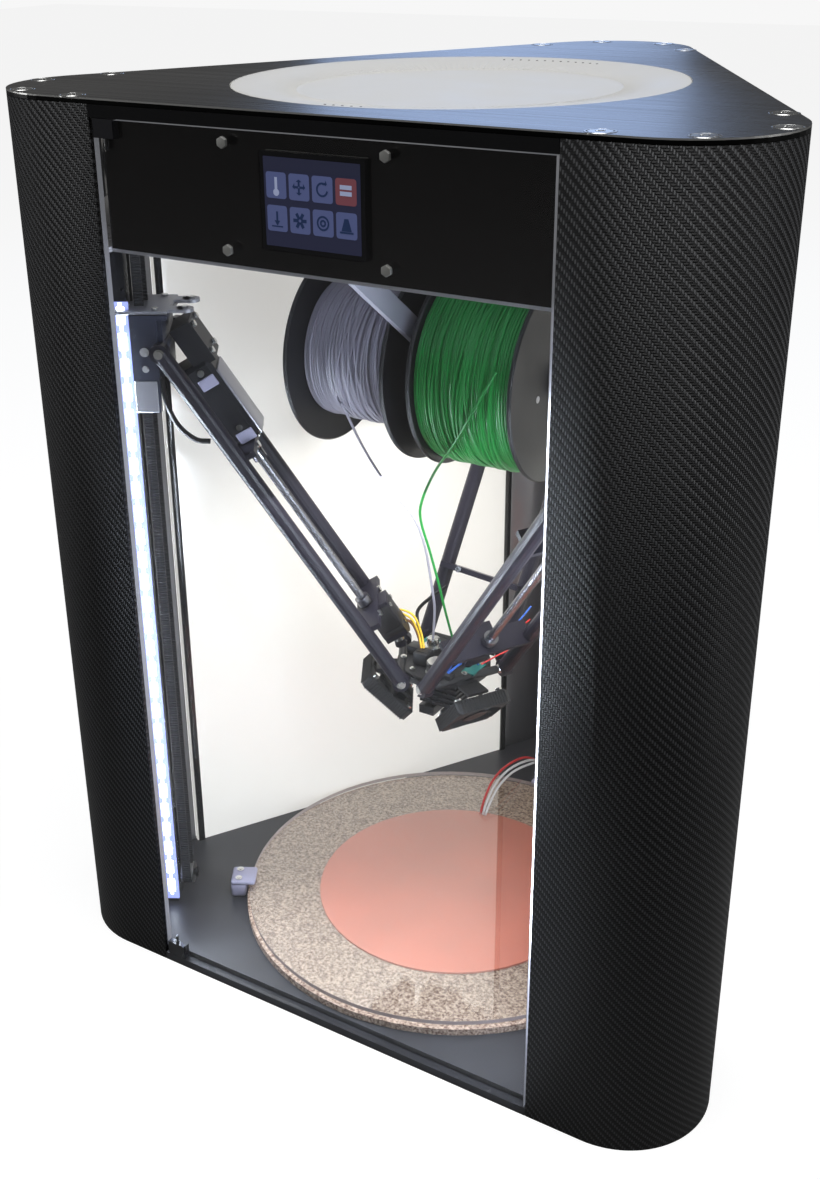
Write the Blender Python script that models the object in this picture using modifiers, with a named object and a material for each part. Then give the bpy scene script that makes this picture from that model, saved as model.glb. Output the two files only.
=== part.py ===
"""A delta 3-D printer in a tall case with a rounded triangular plan.

Metres, +Z up, +Y towards the back. The origin is the centre of the base's underside.
Three corner shells wrap three slotted towers. A carriage rides on each tower, and three
pairs of tubes hang the print head from the carriages. Two spools hang under the deck.
"""

import math

import bmesh
import bpy
from mathutils import Matrix, Vector

# Case: a triangle of flat faces, joined by round corners
INRADIUS = 0.163  # centre to each flat face
CORNER_RADIUS = 0.0576
HEIGHT = 0.596
OPENING_HALF = 0.1449  # half of the opening between two corner shells
SHELL_WALL = 0.003
TOP_THICK = 0.003
HEADER_HEIGHT = 0.0071  # bars under the top plate
HEADER_WIDTH = 0.020
BASE_THICK = 0.010
SILL_HEIGHT = 0.006  # step that the door stands over
PANEL_THICK = 0.0034
PANEL_SETBACK = 0.0033  # face of the case to the outer side of a side panel
DECK_Z = 0.509  # underside of the electronics deck
DECK_THICK = 0.003
DECK_SETBACK = 0.0102  # face of the case to the deck, clear of the door's hinged edge as it swings
DECK_HOLE_RADIUS = 0.036
GAP = 0.0003  # between pieces that touch
SLACK = 0.0006  # between pieces that slide or turn

# Vent cover in the top plate
VENT_RADIUS = 0.1347
VENT_DISC_RADIUS = 0.095
VENT_DEPTH = 0.0045
VENT_WALL = 0.003
VENT_LEDGE = 0.005

# Door, which carries the control panel and the screen
DOOR_THICK = 0.004
DOOR_LEFT = -0.1416
DOOR_RIGHT = 0.1435
DOOR_FLOOR_GAP = 0.0005
HINGE_X = -0.1345
HINGE_WIDTH = 0.0145
HINGE_HEIGHT = 0.0105
HINGE_DEPTH = 0.0054
HINGE_PIN_RADIUS = 0.0010
HINGE_PIN_LENGTH = 0.006
CONTROL_THICK = 0.0025
CONTROL_SETBACK = 0.0003
SCREEN_CENTRE_X = 0.0049
SCREEN_WIDTH = 0.0652
SCREEN_HEIGHT = 0.0512
SCREEN_DROP = 0.046  # top of the case to the screen's centre
SCREEN_DEPTH = 0.010

# Towers, belts and drives
TOWER_ANGLES = {"left": 210, "right": 330, "back": 90}
TOWER_SIDE = 0.030
TOWER_FACE = 0.206  # axis of the case to the tower's inner face
SLOT_MOUTH = 0.0082
SLOT_INNER = 0.0165
SLOT_LIP = 0.0022
SLOT_DEPTH = 0.0092
PULLEY_RADIUS = 0.0064
BELT_WIDTH = 0.006
BELT_THICK = 0.0014
BELT_FACE_GAP = 0.003  # tower face to the belt
IDLER_HEIGHT = 0.016  # floor to the idler's axis
DRIVE_HEIGHT = 0.040  # deck to the drive pulley's axis
MOTOR_SIDE = 0.042
MOTOR_LENGTH = 0.038
MOTOR_FACE = 0.212
LED_WIDTH = 0.010
LED_THICK = 0.0017
LED_TOP = 0.468

# Print head, arms and carriages
HEAD = Vector((-0.0219, 0.0233, 0.1919))  # centre of the lower pivots at rest
HEAD_PIVOT_RADIUS = 0.0301
CARRIAGE_PIVOT_RADIUS = 0.184
ARM_LENGTH = 0.2898
ARM_SPREAD = 0.0653
ARM_TUBE_RADIUS = 0.0055
KNUCKLE_RADIUS = 0.005
KNUCKLE_WIDTH = 0.007
PIVOT_BAR_RADIUS = 0.003
PIVOT_PIN_RADIUS = 0.0016
HEAD_PLATE_RADIUS = 0.034
HEAD_PLATE_THICK = 0.0045
CARRIAGE_BODY_HALF = 0.020
CARRIAGE_TOP = 0.021
CARRIAGE_TONGUE = 0.042
CHEEK_THICK = 0.005
LIT_SIDES = {"left": 1, "right": -1}  # side of each front tower that faces the door
CHEEK_CLEARANCE = 0.003  # tower side to a cheek, past the light strip
NOZZLE_DROP = 0.045
HOTEND_SPACING = 0.018
FAN_SIDE = 0.042
FAN_THICK = 0.011
FAN_RADIUS = 0.041
FAN_DROP = 0.021
FAN_TILT = 45
EXTRUDER_SIDE = 0.028
EXTRUDER_START = 0.020
EXTRUDER_END = 0.082
EXTRUDER_LIFT = 0.003
SHAFT_RADIUS = 0.003
GEARBOX_START = 0.236
GEARBOX_END = 0.268
BRACE_THICK = 0.004

# Bed
CORK_RADIUS = 0.1545
CORK_THICK = 0.005
HEATER_RADIUS = 0.100
HEATER_THICK = 0.0015
GLASS_RADIUS = 0.1525
GLASS_THICK = 0.003

# Spools
AXLE_Z = 0.4235
AXLE_RADIUS = 0.008
SPOOL_RADIUS = 0.0645
FLANGE_THICK = 0.003
SPOOLS = {"white": (-0.091, -0.016, 0.046), "green": (0.0, 0.072, 0.0605)}
STRAND_RADIUS = 0.0009
STRANDS = {
    "white": (
        (-0.0620, -0.0410, 0.3985),
        (-0.0625, -0.0156, 0.3600),
        (-0.0474, -0.0090, 0.3326),
        (-0.0318, -0.0027, 0.3120),
        (-0.0263, 0.0037, 0.2888),
        (-0.0237, 0.0100, 0.2530),
        (-0.0259, 0.0166, 0.2344),
        (-0.0306, 0.0228, 0.2078),
    ),
    "green": (
        (0.0599, -0.0594, 0.4421),
        (0.0504, -0.0620, 0.4245),
        (0.0409, -0.0606, 0.4075),
        (0.0261, -0.0508, 0.3874),
        (-0.0006, -0.0267, 0.3580),
        (-0.0150, -0.0189, 0.3320),
        (-0.0205, -0.0110, 0.3138),
        (-0.0182, -0.0033, 0.2897),
        (-0.0156, 0.0044, 0.2627),
        (-0.0144, 0.0122, 0.2376),
        (-0.0130, 0.0225, 0.2078),
    ),
}

# Electronics on the deck
SUPPLY_SIZE = (0.110, 0.078, 0.032)
SUPPLY_Y = 0.085
BOARD_SIZE = (0.120, 0.070, 0.0016)
BOARD_Y = -0.090
STANDOFF = 0.005
INLET_WIDTH = 0.050
INLET_HEIGHT = 0.030
INLET_OFFSET = 0.095
INLET_DEPTH = 0.016
ROCKER_TILT = 6

FINISHES = {
    "carbon_film": ((0.02, 0.02, 0.022), 0.35, 0.0),
    "dark_aluminium": ((0.06, 0.06, 0.062), 0.35, 1.0),
    "black_gloss": ((0.012, 0.011, 0.011), 0.15, 0.0),
    "black_satin": ((0.02, 0.02, 0.02), 0.5, 0.0),
    "black_metal": ((0.02, 0.02, 0.024), 0.35, 1.0),
    "slate": ((0.13, 0.13, 0.15), 0.5, 0.0),
    "ivory": ((0.75, 0.74, 0.71), 0.55, 0.0),
    "white_sheet": ((0.8, 0.79, 0.76), 0.12, 0.0),
    "clear": ((0.9, 0.92, 0.93), 0.05, 0.0),
    "grey_metal": ((0.45, 0.45, 0.46), 0.4, 1.0),
    "screen": ((0.1, 0.12, 0.2), 0.1, 0.0),
    "light_strip": ((0.9, 0.92, 1.0), 0.4, 0.0),
    "cork": ((0.42, 0.28, 0.18), 0.9, 0.0),
    "silicone": ((0.75, 0.22, 0.14), 0.6, 0.0),
    "white_plastic": ((0.8, 0.8, 0.85), 0.45, 0.0),
    "green_plastic": ((0.03, 0.4, 0.07), 0.4, 0.0),
    "board": ((0.02, 0.2, 0.12), 0.5, 0.0),
    "rubber": ((0.02, 0.02, 0.02), 0.8, 0.0),
}


def clear_scene():
    for obj in list(bpy.data.objects):
        bpy.data.objects.remove(obj)


def new_collection(name):
    collection = bpy.data.collections.new(name)
    bpy.context.scene.collection.children.link(collection)
    return collection


def material_for(name, finish):
    colour, rough, metal = FINISHES[finish]
    material = bpy.data.materials.new(name)
    material.use_nodes = True
    shader = material.node_tree.nodes["Principled BSDF"]
    shader.inputs["Base Color"].default_value = (*colour, 1.0)
    shader.inputs["Roughness"].default_value = rough
    shader.inputs["Metallic"].default_value = metal
    return material


def mesh_from(shape, name):
    mesh = bpy.data.meshes.new(name)
    shape.to_mesh(mesh)
    shape.free()
    return mesh


def part(name, mesh, finish, parent=None, matrix=None):
    obj = bpy.data.objects.new(name, mesh)
    printer.objects.link(obj)
    mesh.materials.append(material_for(name, finish))
    obj.parent = parent
    if matrix is not None:
        obj.matrix_local = matrix
    return obj


def helper(mesh, target):
    """A shape that is cut from a part or joined to it, in the part's own frame."""
    obj = bpy.data.objects.new(target.name + "_tool", mesh)
    cutters.objects.link(obj)
    obj.parent = target
    obj.hide_render = True
    obj.display_type = "WIRE"
    return obj


def combine(target, operation, meshes):
    for mesh in meshes:
        modifier = target.modifiers.new(operation.title(), "BOOLEAN")
        modifier.operation = operation
        modifier.solver = "EXACT"
        modifier.object = helper(mesh, target)
    return target


def cut(target, *meshes):
    return combine(target, "DIFFERENCE", meshes)


def join(target, *meshes):
    return combine(target, "UNION", meshes)


def bevel(target, width, segments=2, angle=40):
    modifier = target.modifiers.new("Bevel", "BEVEL")
    modifier.width = width
    modifier.segments = segments
    modifier.limit_method = "ANGLE"
    modifier.angle_limit = math.radians(angle)
    return target


def block(low, high, matrix=None):
    """A box between two corners."""
    shape = bmesh.new()
    low, high = Vector(low), Vector(high)
    bmesh.ops.create_cube(shape, size=1.0)
    bmesh.ops.scale(shape, vec=high - low, verts=shape.verts)
    bmesh.ops.translate(shape, vec=(low + high) / 2, verts=shape.verts)
    if matrix is not None:
        bmesh.ops.transform(shape, matrix=matrix, verts=shape.verts)
    return mesh_from(shape, "block")


def rod(start, end, radius, segments=16, end_radius=None):
    """A round bar, or a cone, between two points."""
    start, end = Vector(start), Vector(end)
    length = (end - start).length
    turn = (end - start).to_track_quat("Z", "Y").to_matrix().to_4x4()
    shape = bmesh.new()
    bmesh.ops.create_cone(
        shape,
        cap_ends=True,
        segments=segments,
        radius1=radius,
        radius2=radius if end_radius is None else end_radius,
        depth=length,
    )
    bmesh.ops.transform(
        shape, matrix=Matrix.Translation((start + end) / 2) @ turn, verts=shape.verts
    )
    return mesh_from(shape, "rod")


def slab(outlines, low, high):
    """A flat plate between two heights; the outlines after the first are holes."""
    curve = bpy.data.curves.new("slab", "CURVE")
    curve.dimensions = "2D"
    curve.fill_mode = "BOTH"
    curve.extrude = (high - low) / 2
    for outline in outlines:
        spline = curve.splines.new("POLY")
        spline.points.add(len(outline) - 1)
        for point, (x, y) in zip(spline.points, outline):
            point.co = (x, y, 0.0, 1.0)
        spline.use_cyclic_u = True
    carrier = bpy.data.objects.new("slab", curve)
    bpy.context.scene.collection.objects.link(carrier)
    graph = bpy.context.evaluated_depsgraph_get()
    mesh = bpy.data.meshes.new_from_object(carrier.evaluated_get(graph))
    bpy.data.objects.remove(carrier)
    shape = bmesh.new()
    shape.from_mesh(mesh)
    bmesh.ops.remove_doubles(shape, verts=shape.verts, dist=1e-6)
    bmesh.ops.recalc_face_normals(shape, faces=shape.faces)
    bmesh.ops.translate(shape, vec=(0, 0, (low + high) / 2), verts=shape.verts)
    return mesh_from(shape, "slab")


def turned(name, profile, steps, finish, parent=None, matrix=None, closed=False):
    """A turned piece: profile points are (radius, height), down the outer side."""
    mesh = bpy.data.meshes.new(name)
    count = len(profile)
    edges = [(i, i + 1) for i in range(count - 1)]
    if closed:
        edges.append((count - 1, 0))
    mesh.from_pydata([(radius, 0.0, height) for radius, height in profile], edges, [])
    obj = part(name, mesh, finish, parent, matrix)
    screw = obj.modifiers.new("Screw", "SCREW")
    screw.steps = steps
    screw.render_steps = steps
    screw.use_merge_vertices = True
    screw.merge_threshold = 0.00001
    screw.use_smooth_shade = True
    return obj


def circle(radius, steps=48, centre=(0.0, 0.0)):
    angles = [2 * math.pi * i / steps for i in range(steps)]
    return [(centre[0] + radius * math.cos(a), centre[1] + radius * math.sin(a)) for a in angles]


def turn_z(degrees):
    return Matrix.Rotation(math.radians(degrees), 4, "Z")


def case_outline(flat_inset, corner_inset, step_gap=GAP, arc_steps=12):
    """The case's plan, with its flats and its corners inset by different amounts.

    A step at each end of a flat lets a plate reach the face between two corner shells
    and stay inside the shells round the corners.
    """
    arc_centre = 2 * (INRADIUS - CORNER_RADIUS)
    radius = CORNER_RADIUS - corner_inset
    points = []
    for corner in (330, 90, 210):
        centre = turn_z(corner) @ Vector((arc_centre, 0, 0))
        face_before = turn_z(corner - 60)
        face_after = turn_z(corner + 60)
        reach = OPENING_HALF - step_gap
        points.append((face_before @ Vector((INRADIUS - flat_inset, reach, 0))).xy)
        points.append((face_before @ Vector((INRADIUS - corner_inset, reach, 0))).xy)
        for i in range(arc_steps + 1):
            direction = turn_z(corner - 60 + 120 * i / arc_steps) @ Vector((radius, 0, 0))
            points.append((centre + direction).xy)
        points.append((face_after @ Vector((INRADIUS - corner_inset, -reach, 0))).xy)
        points.append((face_after @ Vector((INRADIUS - flat_inset, -reach, 0))).xy)
    if flat_inset == corner_inset:
        keep = len(points) // 3
        points = [p for i, p in enumerate(points) if 2 <= i % keep < keep - 2]
    return [(p.x, p.y) for p in points]


def tower_frame(name):
    """An empty whose +X points from the case's axis to the tower."""
    empty = bpy.data.objects.new("frame_" + name, None)
    printer.objects.link(empty)
    empty.matrix_world = turn_z(TOWER_ANGLES[name])
    return empty


def make_case():
    front_y = -INRADIUS
    corner_inset = SHELL_WALL + GAP
    base = part("base_plate", slab([case_outline(0, corner_inset)], 0, BASE_THICK), "slate")
    sill_depth = HINGE_DEPTH + GAP
    cut(
        base,
        block(
            (-OPENING_HALF, front_y - SHELL_WALL, SILL_HEIGHT),
            (OPENING_HALF, front_y + sill_depth, BASE_THICK + SHELL_WALL),
        ),
    )
    plate_low = HEIGHT - TOP_THICK
    vent_hole = circle(VENT_RADIUS + GAP, 64)
    part(
        "top_plate",
        slab([case_outline(0, 0, arc_steps=16), vent_hole], plate_low, HEIGHT),
        "dark_aluminium",
    )
    header_high = plate_low - GAP
    header_low = header_high - HEADER_HEIGHT
    part(
        "top_frame",
        slab(
            [case_outline(0, corner_inset), case_outline(HEADER_WIDTH, HEADER_WIDTH)],
            header_low,
            header_high,
        ),
        "black_gloss",
    )
    deck = part(
        "deck_plate",
        slab(
            [case_outline(DECK_SETBACK, corner_inset), circle(DECK_HOLE_RADIUS, 32)],
            DECK_Z,
            DECK_Z + DECK_THICK,
        ),
        "white_sheet",
    )
    belt_inner = TOWER_FACE - BELT_FACE_GAP - BELT_WIDTH
    slot_half = PULLEY_RADIUS + BELT_THICK + SLACK + 0.001
    for angle in TOWER_ANGLES.values():
        cut(
            deck,
            block(
                (belt_inner - 0.002, -slot_half, DECK_Z - 0.001),
                (TOWER_FACE - 0.001, slot_half, DECK_Z + DECK_THICK + 0.001),
                turn_z(angle),
            ),
        )
    return header_low


def make_shell(name):
    """A corner shell: the bent path raised to a sheet, then thickened inwards."""
    arc_centre = 2 * (INRADIUS - CORNER_RADIUS)
    steps = 16
    path = [turn_z(-60) @ Vector((INRADIUS, OPENING_HALF, 0))]
    for i in range(steps + 1):
        offset = turn_z(-60 + 120 * i / steps) @ Vector((CORNER_RADIUS, 0, 0))
        path.append(Vector((arc_centre, 0, 0)) + offset)
    path.append(turn_z(60) @ Vector((INRADIUS, -OPENING_HALF, 0)))
    shape = bmesh.new()
    corners = [shape.verts.new(point) for point in path]
    edges = [shape.edges.new(pair) for pair in zip(corners, corners[1:])]
    raised = bmesh.ops.extrude_edge_only(shape, edges=edges)
    top = [item for item in raised["geom"] if isinstance(item, bmesh.types.BMVert)]
    bmesh.ops.translate(shape, vec=(0, 0, HEIGHT - TOP_THICK - GAP), verts=top)
    bmesh.ops.recalc_face_normals(shape, faces=shape.faces)
    middle = max(shape.faces, key=lambda face: face.calc_center_median().x)
    if middle.normal.x < 0:
        bmesh.ops.reverse_faces(shape, faces=shape.faces)
    shell = part("shell_" + name, mesh_from(shape, "shell"), "carbon_film", frames[name])
    wall = shell.modifiers.new("Wall", "SOLIDIFY")
    wall.thickness = SHELL_WALL
    wall.offset = -1
    wall.use_even_offset = True


def make_side_panels(header_low):
    outer = INRADIUS - PANEL_SETBACK
    reach = OPENING_HALF - GAP
    for name, angle in (("left", 150), ("right", 30)):
        part(
            "side_panel_" + name,
            block(
                (outer - PANEL_THICK, -reach, BASE_THICK + GAP),
                (outer, reach, header_low - GAP),
            ),
            "white_sheet",
            matrix=turn_z(angle),
        )
    inlet_z = DECK_Z + DECK_THICK + 0.036
    half_width = INLET_WIDTH / 2 - 0.002
    half_height = INLET_HEIGHT / 2 - 0.002
    cut(
        bpy.data.objects["side_panel_right"],
        block(
            (outer - 0.01, INLET_OFFSET - half_width - GAP, inlet_z - half_height - GAP),
            (outer + 0.01, INLET_OFFSET + half_width + GAP, inlet_z + half_height + GAP),
        ),
    )
    inlet = part(
        "power_inlet",
        block(
            (outer + GAP, INLET_OFFSET - INLET_WIDTH / 2, inlet_z - INLET_HEIGHT / 2),
            (outer + 0.0025, INLET_OFFSET + INLET_WIDTH / 2, inlet_z + INLET_HEIGHT / 2),
        ),
        "black_satin",
        matrix=turn_z(30),
    )
    join(
        inlet,
        block(
            (outer - INLET_DEPTH, INLET_OFFSET - half_width, inlet_z - half_height),
            (outer + 0.001, INLET_OFFSET + half_width, inlet_z + half_height),
        ),
    )
    socket_centre = INLET_OFFSET - 0.008
    switch_centre = INLET_OFFSET + 0.0155
    switch_half = Vector((0.005, 0.0055, 0.0095))
    cut(
        inlet,
        block(
            (outer - 0.012, socket_centre - 0.011, inlet_z - 0.008),
            (outer + 0.01, socket_centre + 0.011, inlet_z + 0.008),
        ),
        block(
            (outer - 0.009, switch_centre - 0.0061, inlet_z - 0.0101),
            (outer + 0.01, switch_centre + 0.0061, inlet_z + 0.0101),
        ),
    )
    join(
        inlet,
        *[
            block(
                (outer - 0.0125, socket_centre + y - 0.001, inlet_z + z - 0.002),
                (outer - 0.003, socket_centre + y + 0.001, inlet_z + z + 0.002),
            )
            for y, z in ((-0.007, -0.002), (0.007, -0.002), (0, 0.003))
        ],
    )
    centre = turn_z(30) @ Vector((outer - 0.001, switch_centre, inlet_z))
    tilt = Matrix.Rotation(math.radians(ROCKER_TILT), 4, "Y")
    rocker = part(
        "rocker_switch",
        block(-switch_half, switch_half),
        "black_gloss",
        matrix=Matrix.Translation(centre) @ turn_z(30) @ tilt,
    )
    bevel(rocker, 0.0012)


def make_vent_cover():
    rim = HEIGHT
    under = HEIGHT - TOP_THICK - GAP
    ledge = VENT_RADIUS + VENT_LEDGE
    low = rim - VENT_DEPTH
    profile = [
        (0.0, low),
        (VENT_DISC_RADIUS, low),
        (VENT_RADIUS - 0.006, rim - 0.0006),
        (VENT_RADIUS - 0.002, rim),
        (VENT_RADIUS, rim - 0.0004),
        (VENT_RADIUS, under),
        (ledge, under),
        (ledge, under - 0.002),
        (VENT_RADIUS - 0.006, under - 0.002),
        (VENT_DISC_RADIUS + 0.002, low - VENT_WALL),
        (0.0, low - VENT_WALL),
    ]
    turned("vent_cover", profile, 64, "ivory")


def notch_cutters(door_low, door_high):
    """Cuts round the two hinge blocks, at the door's upper and lower left corners."""
    front = -INRADIUS
    right = HINGE_X + HINGE_WIDTH / 2 + SLACK
    lower_top = SILL_HEIGHT + GAP + HINGE_HEIGHT + GAP
    upper_low = door_high + SLACK - HINGE_HEIGHT - GAP
    back = front + 0.012
    return (
        block((DOOR_LEFT - 0.01, front - 0.01, door_low - 0.01), (right, back, lower_top)),
        block((DOOR_LEFT - 0.01, front - 0.01, upper_low), (right, back, door_high + 0.01)),
    )


def make_door(header_low):
    front = -INRADIUS
    door_low = SILL_HEIGHT + DOOR_FLOOR_GAP
    door_high = header_low - SLACK
    screen_z = HEIGHT - SCREEN_DROP
    window = (SCREEN_WIDTH / 2 + GAP, SCREEN_HEIGHT / 2 + GAP)
    window_low = (SCREEN_CENTRE_X - window[0], front - 0.01, screen_z - window[1])
    window_high = (SCREEN_CENTRE_X + window[0], front + 0.02, screen_z + window[1])
    hinge = Matrix.Translation((HINGE_X, front + DOOR_THICK / 2, 0))
    away = hinge.inverted()
    notches = [block_moved(mesh, away) for mesh in notch_cutters(door_low, door_high)]
    door = part(
        "door_panel",
        block((DOOR_LEFT, front, door_low), (DOOR_RIGHT, front + DOOR_THICK, door_high), away),
        "clear",
        matrix=hinge,
    )
    bore = HINGE_PIN_RADIUS + GAP
    low_hole = SILL_HEIGHT + HINGE_HEIGHT
    high_hole = door_high - HINGE_HEIGHT
    cut(
        door,
        *notches,
        block(window_low, window_high, away),
        rod((0, 0, low_hole - 0.002), (0, 0, low_hole + HINGE_PIN_LENGTH + 0.001), bore, 12),
        rod((0, 0, high_hole + 0.002), (0, 0, high_hole - HINGE_PIN_LENGTH - 0.001), bore, 12),
    )
    panel_front = front + DOOR_THICK + CONTROL_SETBACK
    control = part(
        "control_panel",
        block(
            (DOOR_LEFT + 0.0026, panel_front, DECK_Z + DECK_THICK + SLACK),
            (DOOR_RIGHT - 0.0015, panel_front + CONTROL_THICK, door_high),
            away,
        ),
        "black_gloss",
        matrix=hinge,
    )
    cut(control, notches[1].copy(), block(window_low, window_high, away))
    half = (SCREEN_WIDTH / 2, SCREEN_HEIGHT / 2)
    part(
        "touch_screen",
        block(
            (SCREEN_CENTRE_X - half[0], front + 0.0008, screen_z - half[1]),
            (SCREEN_CENTRE_X + half[0], front + SCREEN_DEPTH, screen_z + half[1]),
            away,
        ),
        "screen",
        matrix=hinge,
    )
    hinge_low = SILL_HEIGHT + GAP
    hinge_high = header_low - GAP
    make_hinge("door_hinge_lower", hinge_low, hinge_low + HINGE_HEIGHT, 1)
    make_hinge("door_hinge_upper", hinge_high, hinge_high - HINGE_HEIGHT, -1)


def block_moved(mesh, matrix):
    mesh.transform(matrix)
    return mesh


def make_hinge(name, seat, end, way):
    """A pivot block between the case and the door, with the pin that the door turns on."""
    front = -INRADIUS
    low, high = sorted((seat, end))
    pin_y = front + DOOR_THICK / 2
    body = part(
        name,
        block(
            (HINGE_X - HINGE_WIDTH / 2, front, low),
            (HINGE_X + HINGE_WIDTH / 2, front + HINGE_DEPTH, high),
        ),
        "black_satin",
    )
    join(
        body,
        rod(
            (HINGE_X, pin_y, end - way * 0.001),
            (HINGE_X, pin_y, end + way * HINGE_PIN_LENGTH),
            HINGE_PIN_RADIUS,
            12,
        ),
    )


def slotted_outline():
    """The tower's cross-section: a square with a T slot in the middle of each side."""
    half = TOWER_SIDE / 2
    mouth = SLOT_MOUTH / 2
    inner = SLOT_INNER / 2
    side = [
        (half, -half),
        (half, -mouth),
        (half - SLOT_LIP, -mouth),
        (half - SLOT_LIP, -inner),
        (half - SLOT_LIP - 0.0025, -inner),
        (half - SLOT_DEPTH, -mouth),
        (half - SLOT_DEPTH, mouth),
        (half - SLOT_LIP - 0.0025, inner),
        (half - SLOT_LIP, inner),
        (half - SLOT_LIP, mouth),
        (half, mouth),
    ]
    points = []
    for turn in range(4):
        for x, y in side:
            point = turn_z(90 * turn) @ Vector((x, y, 0))
            points.append((point.x + TOWER_FACE + half, point.y))
    return points


def make_tower(name):
    frame = frames[name]
    floor = BASE_THICK + GAP
    belt_outer = TOWER_FACE - BELT_FACE_GAP
    belt_inner = belt_outer - BELT_WIDTH
    idler_z = BASE_THICK + IDLER_HEIGHT
    drive_z = DECK_Z + DECK_THICK + DRIVE_HEIGHT
    bolt_radius = 0.0022
    tower = part("tower_" + name, slab([slotted_outline()], floor, DECK_Z - GAP), "black_metal", frame)
    join(
        tower,
        block((TOWER_FACE, -0.006, floor), (TOWER_FACE + 0.012, 0.006, idler_z + 0.009)),
        rod((TOWER_FACE + 0.001, 0, idler_z), (belt_inner - 0.003, 0, idler_z), bolt_radius, 12),
        rod((belt_inner - 0.0045, 0, idler_z), (belt_inner - 0.0028, 0, idler_z), 0.004, 12),
    )
    facing = Matrix(((0, 0, 1, 0), (1, 0, 0, 0), (0, 1, 0, 0), (0, 0, 0, 1)))
    belt_ride = PULLEY_RADIUS + GAP
    part(
        "belt_" + name,
        slab(
            [
                belt_loop(belt_ride + BELT_THICK, idler_z, drive_z),
                belt_loop(belt_ride, idler_z, drive_z),
            ],
            belt_inner,
            belt_outer,
        ),
        "rubber",
        frame,
        facing,
    )
    make_pulley("idler_pulley_" + name, frame, idler_z, bolt_radius + SLACK, belt_inner)
    pulley = make_pulley("drive_pulley_" + name, frame, drive_z, None, belt_inner)
    join(
        pulley,
        rod((0, 0, 0.006), (0, 0, MOTOR_FACE - 0.0025 - belt_inner), 0.0025, 12),
    )
    motor_half = MOTOR_SIDE / 2
    motor = part(
        "drive_motor_" + name,
        block(
            (MOTOR_FACE, -motor_half, drive_z - motor_half),
            (MOTOR_FACE + MOTOR_LENGTH, motor_half, drive_z + motor_half),
        ),
        "black_satin",
        frame,
    )
    bevel(motor, 0.003, 1)
    join(motor, rod((MOTOR_FACE - 0.002, 0, drive_z), (MOTOR_FACE + 0.002, 0, drive_z), 0.011, 20))
    foot_high = drive_z - motor_half + 0.001
    join(
        motor,
        block(
            (MOTOR_FACE + 0.004, -0.016, DECK_Z + DECK_THICK + GAP),
            (MOTOR_FACE + 0.034, 0.016, foot_high),
        ),
    )


def belt_loop(radius, low, high, steps=10):
    upper = [(radius * math.cos(a), high + radius * math.sin(a)) for a in half_turn(0, steps)]
    lower = [(radius * math.cos(a), low + radius * math.sin(a)) for a in half_turn(math.pi, steps)]
    return upper + lower


def half_turn(start, steps):
    return [start + math.pi * i / steps for i in range(steps + 1)]


def make_pulley(name, frame, height, bore, belt_inner):
    """A pulley on an axis that points from the case's middle to the tower."""
    rim = PULLEY_RADIUS + 0.0016
    width = BELT_WIDTH + 2 * SLACK
    start = -SLACK
    profile = [
        (bore or 0.0, start - 0.001),
        (rim, start - 0.001),
        (rim, start),
        (PULLEY_RADIUS, start),
        (PULLEY_RADIUS, start + width),
        (rim, start + width),
        (rim, start + width + 0.001),
        (bore or 0.0, start + width + 0.001),
    ]
    profile.reverse()
    along_x = Matrix.Rotation(math.radians(90), 4, "Y")
    place = Matrix.Translation((belt_inner, 0, height)) @ along_x
    return turned(name, profile, 16, "grey_metal", frame, place, closed=bore is not None)


def make_light_strip(name, side):
    """A strip of lights on the tower's side that faces the door."""
    near = TOWER_SIDE / 2 + GAP
    sides = sorted((side * near, side * (near + LED_THICK)))
    part(
        "led_strip_" + name,
        block(
            (TOWER_FACE - 0.001, sides[0], BASE_THICK + 0.004),
            (TOWER_FACE - 0.001 + LED_WIDTH, sides[1], LED_TOP),
        ),
        "light_strip",
        frames[name],
    )


def in_frame(name, point):
    return frames[name].matrix_world.inverted() @ Vector(point)


def pivots(name):
    """Mid-points of the upper and lower pivot bars, in the tower's frame."""
    lower = in_frame(name, HEAD) + Vector((HEAD_PIVOT_RADIUS, 0, 0))
    across = (lower.xy - Vector((CARRIAGE_PIVOT_RADIUS, 0))).length
    rise = math.sqrt(ARM_LENGTH**2 - across**2)
    return Vector((CARRIAGE_PIVOT_RADIUS, 0, lower.z + rise)), lower


def arm_frame(name):
    """+X runs down the arm, +Y across it, +Z away from the floor; origin at the top."""
    upper, lower = pivots(name)
    along = (lower - upper).normalized()
    lift = along.cross(Vector((0, 1, 0))).normalized()
    if lift.z < 0:
        lift.negate()
    across = lift.cross(along)
    turn = Matrix((along, across, lift)).transposed().to_4x4()
    return Matrix.Translation(upper) @ turn


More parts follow.
